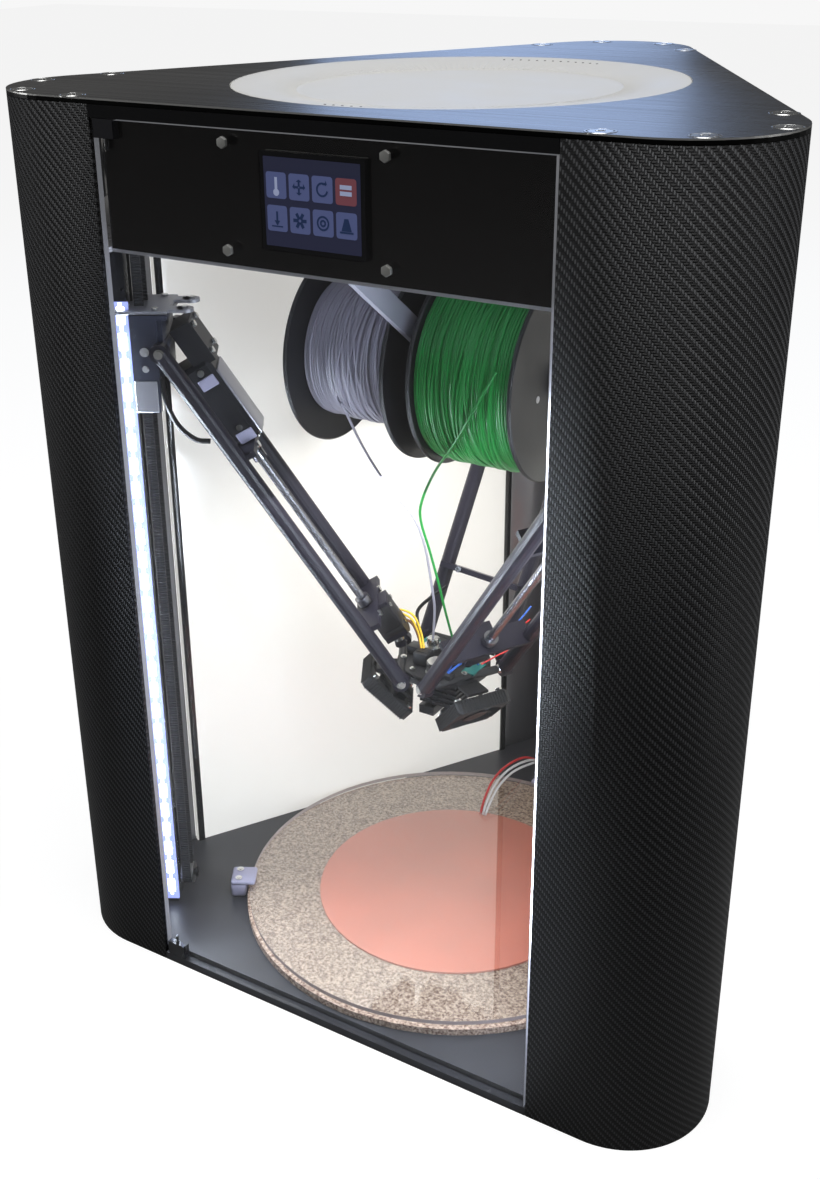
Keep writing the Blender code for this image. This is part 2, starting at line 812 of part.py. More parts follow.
def make_carriage(name):
    upper, _ = pivots(name)
    frame = frames[name]
    place = Matrix.Translation((0, 0, upper.z))
    pivot = CARRIAGE_PIVOT_RADIUS
    front = TOWER_FACE - BELT_FACE_GAP - BELT_WIDTH - 0.003
    cheek_in = TOWER_SIDE / 2 + CHEEK_CLEARANCE
    cheek_out = cheek_in + CHEEK_THICK
    half = CARRIAGE_BODY_HALF
    plate_low = CARRIAGE_TOP - 0.003
    bar_half = ARM_SPREAD / 2 - KNUCKLE_WIDTH / 2 - 0.0034
    pin_half = ARM_SPREAD / 2 + KNUCKLE_WIDTH / 2 + 0.001
    carriage = part(
        "carriage_" + name,
        block((pivot, -half, 0.001 - half), (front, half, CARRIAGE_TOP)),
        "black_satin",
        frame,
        place,
    )
    join(
        carriage,
        block((pivot - 0.004, -cheek_out, plate_low), (front, cheek_out, CARRIAGE_TOP)),
        block((pivot + 0.003, -cheek_out, -half), (front - 0.001, cheek_out, half)),
        rod((pivot, -bar_half, 0), (pivot, bar_half, 0), PIVOT_BAR_RADIUS),
        rod((pivot, -pin_half, 0), (pivot, pin_half, 0), PIVOT_PIN_RADIUS, 12),
        block(
            (front - 0.001, PULLEY_RADIUS - 0.003, -0.008),
            (TOWER_FACE - BELT_FACE_GAP - BELT_WIDTH - GAP, PULLEY_RADIUS + 0.004, 0.008),
        ),
    )
    lit_side = LIT_SIDES.get(name, 0)
    for side in (-1, 1):
        # The cheek beside a light strip stops short of it
        reach = TOWER_FACE - 0.002 if side == lit_side else TOWER_FACE + 0.014
        cheek = sorted((side * cheek_in, side * cheek_out))
        join(
            carriage,
            block((pivot - 0.004, cheek[0], plate_low), (reach, cheek[1], CARRIAGE_TOP)),
            block((pivot + 0.003, cheek[0], -half), (reach, cheek[1], plate_low + 0.001)),
        )
        if side == (lit_side or 1):
            join(
                carriage,
                block((reach - 0.016, cheek[0], -CARRIAGE_TONGUE), (reach, cheek[1], 0.001 - half)),
            )


def make_arm(name, driven):
    """Two tubes tied by braces; a driven arm also holds the lower gearbox."""
    upper, lower = pivots(name)
    frame = frames[name]
    place = arm_frame(name)
    home = place.inverted()
    offset = Vector((0, ARM_SPREAD / 2, 0))
    tubes = [(home @ (upper + s * offset), home @ (lower + s * offset)) for s in (-1, 1)]
    arm = part("arm_" + name, rod(*tubes[0], ARM_TUBE_RADIUS, 16), "black_satin", frame, place)
    join(arm, rod(*tubes[1], ARM_TUBE_RADIUS, 16))
    across = (home.to_3x3() @ Vector((0, 1, 0))).normalized()
    half_width = across * KNUCKLE_WIDTH / 2
    for ends in tubes:
        for end in ends:
            join(arm, rod(end - half_width, end + half_width, KNUCKLE_RADIUS + 0.0012, 16))
    reach = ARM_SPREAD / 2
    brace_low, brace_high = -0.005, 0.012
    for start in (EXTRUDER_END + GAP, GEARBOX_START):
        join(
            arm,
            block((start, -reach, brace_low), (start + BRACE_THICK, reach, brace_high)),
        )
    if driven:
        join(
            arm,
            block((GEARBOX_START + 0.001, -0.0085, 0.001), (GEARBOX_END, 0.0085, 0.018)),
            rod(
                (GEARBOX_END - 0.001, 0, 0.010),
                (GEARBOX_END + 0.010, 0, 0.006),
                0.004,
                12,
            ),
        )
        start = EXTRUDER_END - 0.001
        bore = SHAFT_RADIUS + SLACK
        cut(arm, rod((start, 0, EXTRUDER_LIFT), (start + 0.008, 0, EXTRUDER_LIFT), bore, 16))
    for index in (0, 1):
        middle = (tubes[0][index] + tubes[1][index]) / 2
        cut(arm, rod(middle - across * 0.05, middle + across * 0.05, PIVOT_PIN_RADIUS + GAP, 12))


def make_extruder(name):
    """The filament drive at the top of an arm, and the shaft that runs down from it."""
    frame = frames[name]
    place = arm_frame(name)
    half = EXTRUDER_SIDE / 2
    lift = EXTRUDER_LIFT
    motor = part(
        "extruder_motor_" + name,
        block((EXTRUDER_START, -half, lift - half), (EXTRUDER_END, half, lift + half)),
        "black_satin",
        frame,
        place,
    )
    bevel(motor, 0.003, 1)
    join(motor, block((-0.006, -0.012, 0.006), (EXTRUDER_START + 0.004, 0.012, 0.021)))
    shaft_place = place @ Matrix.Translation((0, 0, lift))
    part(
        "drive_shaft_" + name,
        rod((EXTRUDER_END + GAP, 0, 0), (GEARBOX_START - GAP, 0, 0), SHAFT_RADIUS, 16),
        "grey_metal",
        frame,
        shaft_place,
    )


def make_head():
    place = Matrix.Translation(HEAD)
    plate_high = -0.0004
    plate_low = plate_high - HEAD_PLATE_THICK
    plate = part(
        "effector_plate",
        slab([circle(HEAD_PLATE_RADIUS, 32)], plate_low, plate_high),
        "black_satin",
        matrix=place,
    )
    bar_half = ARM_SPREAD / 2 - KNUCKLE_WIDTH / 2 - 0.0034
    pin_half = ARM_SPREAD / 2 + KNUCKLE_WIDTH / 2 + 0.001
    for angle in TOWER_ANGLES.values():
        turn = turn_z(angle)
        bar = [turn @ Vector((HEAD_PIVOT_RADIUS, s * bar_half, 0)) for s in (-1, 1)]
        pin = [turn @ Vector((HEAD_PIVOT_RADIUS, s * pin_half, 0)) for s in (-1, 1)]
        join(plate, rod(*bar, PIVOT_BAR_RADIUS), rod(*pin, PIVOT_PIN_RADIUS, 12))
    tab_end = FAN_RADIUS + FAN_DROP - 0.0135
    for name in ("left", "right"):
        turn = turn_z(TOWER_ANGLES[name])
        join(plate, block((0.030, -0.008, plate_low), (tab_end, 0.008, plate_low + 0.002), turn))
    width = HOTEND_SPACING + 0.012
    opening = (width / 2 + SLACK, 0.009 + SLACK)
    cut(plate, block((-opening[0], -opening[1], -0.02), (opening[0], opening[1], 0.01)))
    make_hotends(place, width)
    for name in ("left", "right"):
        make_fan(name)


def make_hotends(place, width):
    block_low = 0.012 - NOZZLE_DROP
    fins = part(
        "hotend_pair",
        block((-width / 2, -0.009, block_low), (width / 2, 0.009, 0.006)),
        "black_metal",
        matrix=place,
    )
    for side in (-1, 1):
        x = side * HOTEND_SPACING / 2
        join(
            fins,
            rod((x, 0, 0.005), (x, 0, 0.015), 0.0045, 12),
            rod((x, 0, block_low + 0.001), (x, 0, block_low - 0.004), 0.003, 12),
            block((x - 0.006, -0.010, block_low - 0.0095), (x + 0.006, 0.006, block_low - 0.0028)),
            rod((x, 0, block_low - 0.009), (x, 0, -NOZZLE_DROP), 0.0035, 12, 0.0006),
        )


def fan_place(name):
    """+Z of a fan points outwards and down."""
    turn = turn_z(TOWER_ANGLES[name])
    centre = HEAD + turn @ Vector((FAN_RADIUS, 0, -FAN_DROP))
    tilt = Matrix.Rotation(math.radians(90 + FAN_TILT), 4, "Y")
    return Matrix.Translation(centre) @ turn @ tilt


def make_fan(name):
    place = fan_place(name)
    half = FAN_SIDE / 2
    deep = FAN_THICK / 2
    bore = half - 0.0018
    frame = part(
        "fan_" + name,
        block((-half, -half, -deep), (half, half, deep)),
        "black_satin",
        matrix=place,
    )
    bevel(frame, 0.003, 2, 60)
    cut(frame, rod((0, 0, -deep - 0.001), (0, 0, deep + 0.001), bore, 32))
    strut_high = -deep + 0.0015
    join(
        frame,
        block((-half + 0.001, -0.0015, -deep), (half - 0.001, 0.0015, strut_high)),
        block((-0.0015, -half + 0.001, -deep), (0.0015, half - 0.001, strut_high)),
        rod((0, 0, -deep), (0, 0, strut_high), 0.009, 20),
    )
    rotor_low = strut_high + SLACK
    rotor = part(
        "fan_rotor_" + name,
        rod((0, 0, rotor_low), (0, 0, deep - 0.0008), 0.009, 20),
        "black_satin",
        matrix=place,
    )
    blade_reach = bore - 0.0015
    middle = (rotor_low + deep) / 2
    for i in range(3):
        turn = Matrix.Rotation(math.radians(60 * i), 4, "Z") @ Matrix.Translation((0, 0, middle))
        for side in (0, 180):
            pitch = Matrix.Rotation(math.radians(side), 4, "Z") @ Matrix.Rotation(
                math.radians(35), 4, "X"
            )
            join(
                rotor,
                block((0.006, -0.004, -0.0006), (blade_reach, 0.004, 0.0006), turn @ pitch),
            )


def make_bed():
    cork_low = BASE_THICK + GAP
    heater_low = cork_low + CORK_THICK + GAP
    glass_low = heater_low + HEATER_THICK + GAP
    part("cork_pad", rod((0, 0, cork_low), (0, 0, cork_low + CORK_THICK), CORK_RADIUS, 72), "cork")
    part(
        "heater_pad",
        rod((0, 0, heater_low), (0, 0, heater_low + HEATER_THICK), HEATER_RADIUS, 56),
        "silicone",
    )
    part(
        "glass_plate",
        rod((0, 0, glass_low), (0, 0, glass_low + GLASS_THICK), GLASS_RADIUS, 72),
        "clear",
    )


def make_spool(name):
    left, right, wound = SPOOLS[name]
    width = right - left
    bore = AXLE_RADIUS + SLACK
    profile = [
        (bore, width),
        (SPOOL_RADIUS, width),
        (SPOOL_RADIUS, width - FLANGE_THICK),
        (wound, width - FLANGE_THICK),
        (wound, FLANGE_THICK),
        (SPOOL_RADIUS, FLANGE_THICK),
        (SPOOL_RADIUS, 0.0),
        (bore, 0.0),
    ]
    along_x = Matrix.Rotation(math.radians(90), 4, "Y")
    place = Matrix.Translation((left, 0, AXLE_Z)) @ along_x
    turned("spool_" + name, profile, 56, name + "_plastic", matrix=place, closed=True)


def make_spool_holder():
    """An arm from the deck to the axle between the two spools."""
    left = SPOOLS["white"][0]
    right = SPOOLS["green"][1]
    middle = (SPOOLS["white"][1] + SPOOLS["green"][0]) / 2
    foot_y = -0.112
    top = DECK_Z - GAP
    cap = 0.004
    end_gap = 0.002
    holder = part(
        "spool_holder",
        rod((left - end_gap - cap, 0, AXLE_Z), (right + end_gap + cap, 0, AXLE_Z), AXLE_RADIUS, 20),
        "grey_metal",
    )
    arm_start = Vector((middle, foot_y, top - 0.001))
    arm_end = Vector((middle, 0, AXLE_Z))
    length = (arm_end - arm_start).length
    arm = block((-0.002, -0.007, 0.008), (0.002, 0.007, length))
    slope = math.atan2(arm_end.y - arm_start.y, arm_start.z - arm_end.z)
    swing = Matrix.Translation(arm_start) @ Matrix.Rotation(math.pi + slope, 4, "X")
    arm.transform(swing)
    join(
        holder,
        arm,
        block((middle - 0.005, foot_y - 0.012, top - 0.004), (middle + 0.005, foot_y + 0.014, top)),
        rod((middle - 0.006, 0, AXLE_Z), (middle + 0.006, 0, AXLE_Z), AXLE_RADIUS + 0.004, 20),
        rod((left - end_gap - cap, 0, AXLE_Z), (left - end_gap, 0, AXLE_Z), AXLE_RADIUS + 0.003, 20),
        rod((right + end_gap, 0, AXLE_Z), (right + end_gap + cap, 0, AXLE_Z), AXLE_RADIUS + 0.003, 20),
    )


def make_strand(name):
    """The filament from its winding down to the head, on a smooth curve."""
    route = [Vector(point) for point in STRANDS[name]]
    ends = [route[0] * 2 - route[1], *route, route[-1] * 2 - route[-2]]
    points = []
    for i in range(1, len(ends) - 2):
        before, start, end, after = ends[i - 1 : i + 3]
        for k in range(4):
            t = k / 4
            points.append(
                0.5
                * (
                    2 * start
                    + (end - before) * t
                    + (2 * before - 5 * start + 4 * end - after) * t**2
                    + (3 * start - before - 3 * end + after) * t**3
                )
            )
    points.append(route[-1])
    curve = bpy.data.curves.new("strand", "CURVE")
    curve.dimensions = "3D"
    curve.bevel_depth = STRAND_RADIUS
    curve.bevel_resolution = 1
    curve.use_fill_caps = True
    spline = curve.splines.new("POLY")
    spline.points.add(len(points) - 1)
    for spot, point in zip(spline.points, points):
        spot.co = (*point, 1.0)
    strand = bpy.data.objects.new("filament_" + name, curve)
    printer.objects.link(strand)
    curve.materials.append(material_for(strand.name, name + "_plastic"))


def make_electronics():
    seat = DECK_Z + DECK_THICK + GAP
    length, depth, height = SUPPLY_SIZE
    supply = part(
        "power_supply",
        block(
            (-length / 2, SUPPLY_Y - depth / 2, seat),
            (length / 2, SUPPLY_Y + depth / 2, seat + height),
        ),
        "grey_metal",
    )
    bevel(supply, 0.0015, 1)
    length, depth, thick = BOARD_SIZE
    low = seat + STANDOFF
    board = part(
        "controller_board",
        block(
            (-length / 2, BOARD_Y - depth / 2, low),
            (length / 2, BOARD_Y + depth / 2, low + thick),
        ),
        "board",
    )
    post_x, post_y = length / 2 - 0.005, depth / 2 - 0.005
    for x in (-post_x, post_x):
        for y in (BOARD_Y - post_y, BOARD_Y + post_y):
            join(board, rod((x, y, seat), (x, y, low + thick / 2), 0.003, 12))
    for i in range(4):
        x = -0.036 + 0.018 * i
        join(board, block((x, BOARD_Y, low + thick / 2), (x + 0.010, BOARD_Y + 0.010, low + 0.012)))
    join(
        board,
        block((0.034, BOARD_Y - 0.028, low + thick / 2), (0.052, BOARD_Y + 0.022, low + 0.011)),
    )


clear_scene()
printer = new_collection("delta_printer")
cutters = new_collection("tools")
cutters.hide_render = True
frames = {name: tower_frame(name) for name in TOWER_ANGLES}
bpy.context.view_layer.update()

header_bottom = make_case()
make_side_panels(header_bottom)
make_vent_cover()
make_door(header_bottom)
for tower_name in TOWER_ANGLES:
    make_shell(tower_name)
    make_tower(tower_name)
    make_carriage(tower_name)
    make_arm(tower_name, driven=tower_name != "back")
for tower_name, lit_side in LIT_SIDES.items():
    make_light_strip(tower_name, lit_side)
make_extruder("left")
make_extruder("right")
make_head()
make_bed()
make_spool_holder()
for spool_name in SPOOLS:
    make_spool(spool_name)
    make_strand(spool_name)
make_electronics()
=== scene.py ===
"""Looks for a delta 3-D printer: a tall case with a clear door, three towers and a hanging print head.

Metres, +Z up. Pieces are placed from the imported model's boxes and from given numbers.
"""

import math
import random

import bmesh
import bpy
from mathutils import Matrix, Vector


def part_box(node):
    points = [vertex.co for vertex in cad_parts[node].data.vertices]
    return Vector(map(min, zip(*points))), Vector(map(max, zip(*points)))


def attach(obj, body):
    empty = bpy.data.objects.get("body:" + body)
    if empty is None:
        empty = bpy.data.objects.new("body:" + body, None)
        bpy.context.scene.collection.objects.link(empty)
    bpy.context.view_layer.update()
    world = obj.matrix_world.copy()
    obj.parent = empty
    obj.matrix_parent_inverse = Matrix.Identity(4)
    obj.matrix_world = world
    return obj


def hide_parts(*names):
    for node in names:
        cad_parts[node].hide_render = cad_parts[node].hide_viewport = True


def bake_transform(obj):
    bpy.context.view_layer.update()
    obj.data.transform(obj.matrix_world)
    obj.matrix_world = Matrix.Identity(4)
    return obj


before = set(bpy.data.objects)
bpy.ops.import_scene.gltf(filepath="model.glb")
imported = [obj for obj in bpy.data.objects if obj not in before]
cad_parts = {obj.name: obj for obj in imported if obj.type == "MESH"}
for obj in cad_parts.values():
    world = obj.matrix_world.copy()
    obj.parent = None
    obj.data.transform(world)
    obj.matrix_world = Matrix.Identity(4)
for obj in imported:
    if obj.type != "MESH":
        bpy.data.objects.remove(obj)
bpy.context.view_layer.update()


# ---------------------------------------------------------------------------
# Camera. It stands to the right of the door and above the case, looking down
# at it, with a small shift that keeps the tall case inside the frame.
VIEW_YAW, VIEW_PITCH, VIEW_ROLL = 32.82, 24.81, -0.98
camera_data = bpy.data.cameras.new("camera")
camera_data.lens = 44.81
camera_data.shift_x = 0.0297
camera_data.shift_y = -0.0112
camera = bpy.data.objects.new("camera", camera_data)
bpy.context.scene.collection.objects.link(camera)
bpy.context.scene.camera = camera
camera.matrix_world = (
    Matrix.Translation((0.4459, -0.7921, 0.6938))
    @ Matrix.Rotation(math.radians(VIEW_YAW), 4, "Z")
    @ Matrix.Rotation(math.radians(90 - VIEW_PITCH), 4, "X")
    @ Matrix.Rotation(math.radians(VIEW_ROLL), 4, "Z")
)


# ---------------------------------------------------------------------------
# Filament. Two strands of plastic run off the spools and down into the head.
# They are stiff enough to bow a little.
def material(name, colour, roughness, metallic=0.0, **sockets):
    made = bpy.data.materials.new(name)
    made.use_nodes = True
    shader = made.node_tree.nodes["Principled BSDF"]
    values = {"Base Color": (*colour, 1.0), "Roughness": roughness, "Metallic": metallic}
    for socket, value in {**values, **sockets}.items():
        shader.inputs[socket.replace("_", " ")].default_value = value
    return made


def add_node(made, kind, **inputs):
    node = made.node_tree.nodes.new(kind)
    for name, value in inputs.items():
        socket = node.inputs[name.replace("_", " ")]
        if isinstance(value, bpy.types.NodeSocket):
            made.node_tree.links.new(value, socket)
        else:
            socket.default_value = value
    return node


def compute(made, operation, *values):
    node = made.node_tree.nodes.new("ShaderNodeMath")
    node.operation = operation
    for socket, value in zip(node.inputs, values):
        if isinstance(value, bpy.types.NodeSocket):
            made.node_tree.links.new(value, socket)
        else:
            socket.default_value = value
    return node.outputs[0]


def shader_of(made):
    return made.node_tree.nodes["Principled BSDF"]


def drive(made, socket, source):
    made.node_tree.links.new(source, shader_of(made).inputs[socket])


def noise(made, scale, detail=3.0, stretch=(1.0, 1.0, 1.0)):
    place = add_node(made, "ShaderNodeTexCoord")
    scaled = add_node(made, "ShaderNodeMapping", Vector=place.outputs["Object"], Scale=stretch)
    texture = add_node(
        made, "ShaderNodeTexNoise", Vector=scaled.outputs[0], Scale=scale, Detail=detail
    )
    return texture.outputs["Fac"]


def spread(made, source, low, high):
    node = add_node(made, "ShaderNodeMapRange", Value=source)
    node.inputs["From Min"].default_value = 0.3
    node.inputs["From Max"].default_value = 0.7
    node.inputs["To Min"].default_value = low
    node.inputs["To Max"].default_value = high
    return node.outputs[0]


def tint(made, source, low, high):
    node = add_node(made, "ShaderNodeMix", Factor=source)
    node.data_type = "RGBA"
    node.inputs[6].default_value = (*low, 1.0)
    node.inputs[7].default_value = (*high, 1.0)
    return node.outputs[2]


def raise_by(made, source, depth, strength=1.0):
    node = add_node(made, "ShaderNodeBump", Height=source, Distance=depth, Strength=strength)
    drive(made, "Normal", node.outputs[0])


def worn(name, colour, roughness, metallic=0.0, grain=400.0, depth=0.00004, **sockets):
    """A plain finish with a fine grain in its relief and broad uneven patches in its gloss."""
    made = material(name, colour, roughness, metallic, **sockets)
    patches = noise(made, 25.0, 4.0)
    drive(made, "Roughness", spread(made, patches, roughness * 0.8, min(1.0, roughness * 1.25)))
    darker = [c * 0.85 for c in colour]
    drive(made, "Base Color", tint(made, spread(made, patches, 0.0, 1.0), darker, colour))
    raise_by(made, noise(made, grain, 2.0), depth, 0.5)
    return made


def piece(name, shape, materials, body, stands_for=(), sharp=32):
    """The finished shape as one piece of the part, smooth except over its sharp edges."""
    bmesh.ops.recalc_face_normals(shape, faces=shape.faces)
    for face in shape.faces:
        face.smooth = True
    for edge in shape.edges:
        edge.smooth = edge.calc_face_angle(0.0) < math.radians(sharp)
    mesh = bpy.data.meshes.new(name)
    shape.to_mesh(mesh)
    shape.free()
    for item in materials:
        mesh.materials.append(item)
    obj = bpy.data.objects.new(name, mesh)
    bpy.context.scene.collection.objects.link(obj)
    if body:
        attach(obj, body)
    if stands_for:
        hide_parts(*stands_for)
    return obj


def smooth_path(route, steps=4):
    route = [Vector(point) for point in route]
    ends = [route[0] * 2 - route[1], *route, route[-1] * 2 - route[-2]]
    points = []
    for i in range(1, len(ends) - 2):
        before, start, end, after = ends[i - 1 : i + 3]
        for k in range(steps):
            t = k / steps
            points.append(
                0.5
                * (
                    2 * start
                    + (end - before) * t
                    + (2 * before - 5 * start + 4 * end - after) * t**2
                    + (3 * start - before - 3 * end + after) * t**3
                )
            )
    return [*points, route[-1]]


def add_tube(shape, points, radius, sides=2, closed=False):
    """A round bar along the points, from a bevelled curve."""
    curve = bpy.data.curves.new("tube", "CURVE")
    curve.dimensions = "3D"
    curve.bevel_depth = radius
    curve.bevel_resolution = sides
    curve.use_fill_caps = not closed
    spline = curve.splines.new("POLY")
    spline.points.add(len(points) - 1)
    spline.use_cyclic_u = closed
    for spot, point in zip(spline.points, points):
        spot.co = (*point, 1.0)
    carrier = bpy.data.objects.new("tube", curve)
    bpy.context.scene.collection.objects.link(carrier)
    graph = bpy.context.evaluated_depsgraph_get()
    mesh = bpy.data.meshes.new_from_object(carrier.evaluated_get(graph))
    bpy.data.objects.remove(carrier)
    shape.from_mesh(mesh)
    bmesh.ops.remove_doubles(shape, verts=shape.verts, dist=1e-6)


STRAND_ROUTES = {
    "white": (
        (-0.0620, -0.0410, 0.3985),
        (-0.0625, -0.0156, 0.3600),
        (-0.0474, -0.0090, 0.3326),
        (-0.0318, -0.0027, 0.3120),
        (-0.0263, 0.0037, 0.2888),
        (-0.0237, 0.0100, 0.2530),
        (-0.0259, 0.0166, 0.2344),
        (-0.0306, 0.0228, 0.2078),
    ),
    "green": (
        (0.0599, -0.0594, 0.4421),
        (0.0504, -0.0620, 0.4245),
        (0.0409, -0.0606, 0.4075),
        (0.0261, -0.0508, 0.3874),
        (-0.0006, -0.0267, 0.3580),
        (-0.0150, -0.0189, 0.3320),
        (-0.0205, -0.0110, 0.3138),
        (-0.0182, -0.0033, 0.2897),
        (-0.0156, 0.0044, 0.2627),
        (-0.0144, 0.0122, 0.2376),
        (-0.0130, 0.0225, 0.2078),
    ),
}
STRAND_DIAMETER = 0.0018
STRAND_COLOURS = {"white": (0.40, 0.39, 0.47), "green": (0.012, 0.27, 0.045)}
strand_materials = {}
for colour_name, route in STRAND_ROUTES.items():
    strand_materials[colour_name] = worn(
        "strand_" + colour_name, STRAND_COLOURS[colour_name], 0.35, grain=250.0
    )
    path = smooth_path(route)
    run = sum((b - a).length for a, b in zip(path, path[1:]))
    shape = bmesh.new()
    add_tube(shape, path, STRAND_DIAMETER / 2, 3)
    strand = piece(
        "strand_" + colour_name,
        shape,
        [strand_materials[colour_name]],
        None,
        ["filament_" + colour_name],
    )
    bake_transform(strand)


# ---------------------------------------------------------------------------
# Stage and light. A pale table top runs out to a pale room, a wide soft box
# hangs over the case and a blue one stands behind it for the top plate.
table = bpy.data.meshes.new("table")
shape = bmesh.new()
bmesh.ops.create_grid(shape, x_segments=1, y_segments=1, size=1.0)
bmesh.ops.scale(shape, vec=(8.0, 8.0, 1.0), verts=shape.verts)
shape.to_mesh(table)
shape.free()
table_top = bpy.data.objects.new("table", table)
bpy.context.scene.collection.objects.link(table_top)
paper = material("table_paper", (0.3, 0.3, 0.3), 0.9, Specular_IOR_Level=0.0)
seen = paper.node_tree.nodes.new("ShaderNodeLightPath")
paper_glow = paper.node_tree.nodes.new("ShaderNodeMapRange")
paper_glow.inputs["To Min"].default_value = 0.03
paper_glow.inputs["To Max"].default_value = 0.87
paper.node_tree.links.new(seen.outputs["Is Camera Ray"], paper_glow.inputs["Value"])
drive(paper, "Emission Strength", paper_glow.outputs[0])
shader_of(paper).inputs["Emission Color"].default_value = (1.0, 1.0, 1.0, 1.0)
table.materials.append(paper)

world = bpy.data.worlds.new("studio")
bpy.context.scene.world = world
world.use_nodes = True
room = world.node_tree
surround = room.nodes["Background"]
surround.inputs["Color"].default_value = (1.0, 1.0, 1.0, 1.0)
ray = room.nodes.new("ShaderNodeLightPath")
strength = room.nodes.new("ShaderNodeMapRange")
strength.inputs["To Min"].default_value = 0.09
strength.inputs["To Max"].default_value = 0.93
room.links.new(ray.outputs["Is Camera Ray"], strength.inputs["Value"])
room.links.new(strength.outputs[0], surround.inputs["Strength"])
bpy.context.scene.view_settings.view_transform = "Standard"


def soft_box(name, place, aim, size, power, colour=(1.0, 1.0, 1.0), seen=False):
    data = bpy.data.lights.new(name, "AREA")
    data.shape = "RECTANGLE"
    data.size, data.size_y = size
    data.energy = power
    data.color = colour
    lamp = bpy.data.objects.new(name, data)
    bpy.context.scene.collection.objects.link(lamp)
    facing = (Vector(aim) - Vector(place)).to_track_quat("-Z", "Y").to_matrix().to_4x4()
    lamp.matrix_world = Matrix.Translation(place) @ facing
    lamp.visible_camera = seen
    return lamp


soft_box("overhead", (0.1, -0.5, 2.2), (0, 0, 0.3), (1.4, 1.0), 20.0)
soft_box("right_fill", (2.2, 0.5, 1.3), (0.1, 0, 0.4), (0.7, 1.4), 17.0)
soft_box("left_fill", (-2.0, -0.8, 0.9), (0, 0, 0.3), (0.6, 1.4), 5.0)
soft_box("blue_back", (-1.15, 2.22, 1.15), (0, 0, 0.6), (0.83, 0.9), 3.2, (0.45, 0.62, 1.0))


# ---------------------------------------------------------------------------
# Corner shells. Each is one bent sheet, bare grey inside, with a twill-pattern
# film wrapped over its outside. They carry the towers at the three corners.
TOWERS = {"left": 210, "right": 330, "back": 90}
FACE_DISTANCE = -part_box("door_panel")[0].y
CORNER_RADIUS = 2 * FACE_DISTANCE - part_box("shell_back")[1].y
ARC_CENTRE = 2 * (FACE_DISTANCE - CORNER_RADIUS)
OPENING_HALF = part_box("shell_right")[0].x
SHELL_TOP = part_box("shell_back")[1].z
SHELL_WALL = 0.003
TWILL_PITCH = 0.00135


def turn_z(degrees):
    return Matrix.Rotation(math.radians(degrees), 4, "Z")


twill = material("twill_film", (0.012, 0.012, 0.013), 0.42, Specular_IOR_Level=0.25)
weave = add_node(twill, "ShaderNodeUVMap")
weave_parts = add_node(twill, "ShaderNodeSeparateXYZ", Vector=weave.outputs[0])
across = compute(twill, "DIVIDE", weave_parts.outputs["X"], TWILL_PITCH)
along = compute(twill, "DIVIDE", weave_parts.outputs["Y"], TWILL_PITCH)
column = compute(twill, "FLOOR", across)
row = compute(twill, "FLOOR", along)
step = compute(twill, "MODULO", compute(twill, "ADD", column, row), 4.0)
upright = compute(twill, "LESS_THAN", step, 2.0)


def crown(made, value, power=2.0):
    """A round back between 0 and 1, highest half way."""
    centred = compute(made, "MULTIPLY_ADD", value, 2.0, -1.0)
    return compute(made, "SUBTRACT", 1.0, compute(made, "POWER", compute(made, "ABSOLUTE", centred), power))


up_run = compute(twill, "MODULO", compute(twill, "ADD", column, along), 4.0)
flat_run = compute(twill, "MODULO", compute(twill, "ADD", across, row), 4.0)
up_back = compute(
    twill,
    "MULTIPLY",
    crown(twill, compute(twill, "FRACT", across)),
    crown(twill, compute(twill, "MULTIPLY", up_run, 0.5), 4.0),
)
flat_back = compute(
    twill,
    "MULTIPLY",
    crown(twill, compute(twill, "FRACT", along)),
    crown(twill, compute(twill, "MULTIPLY_ADD", flat_run, 0.5, -1.0), 4.0),
)
chosen = add_node(twill, "ShaderNodeMix", Factor=upright)
twill.node_tree.links.new(flat_back, chosen.inputs[2])
twill.node_tree.links.new(up_back, chosen.inputs[3])
raise_by(twill, chosen.outputs[0], 0.0004, 0.8)
# Painted sheen: the crowns of the upright threads are painted lighter, on top of the weave's real relief and gloss.
painted_crown_sheen = compute(twill, "MULTIPLY", compute(twill, "POWER", up_back, 1.6), upright)
drive(twill, "Base Color", tint(twill, painted_crown_sheen, (0.0035, 0.0035, 0.004), (0.075, 0.077, 0.082)))
drive(twill, "Roughness", compute(twill, "MULTIPLY_ADD", painted_crown_sheen, -0.12, 0.46))
bare_grey = worn("bare_grey", (0.32, 0.32, 0.34), 0.4, 0.6, 200.0)

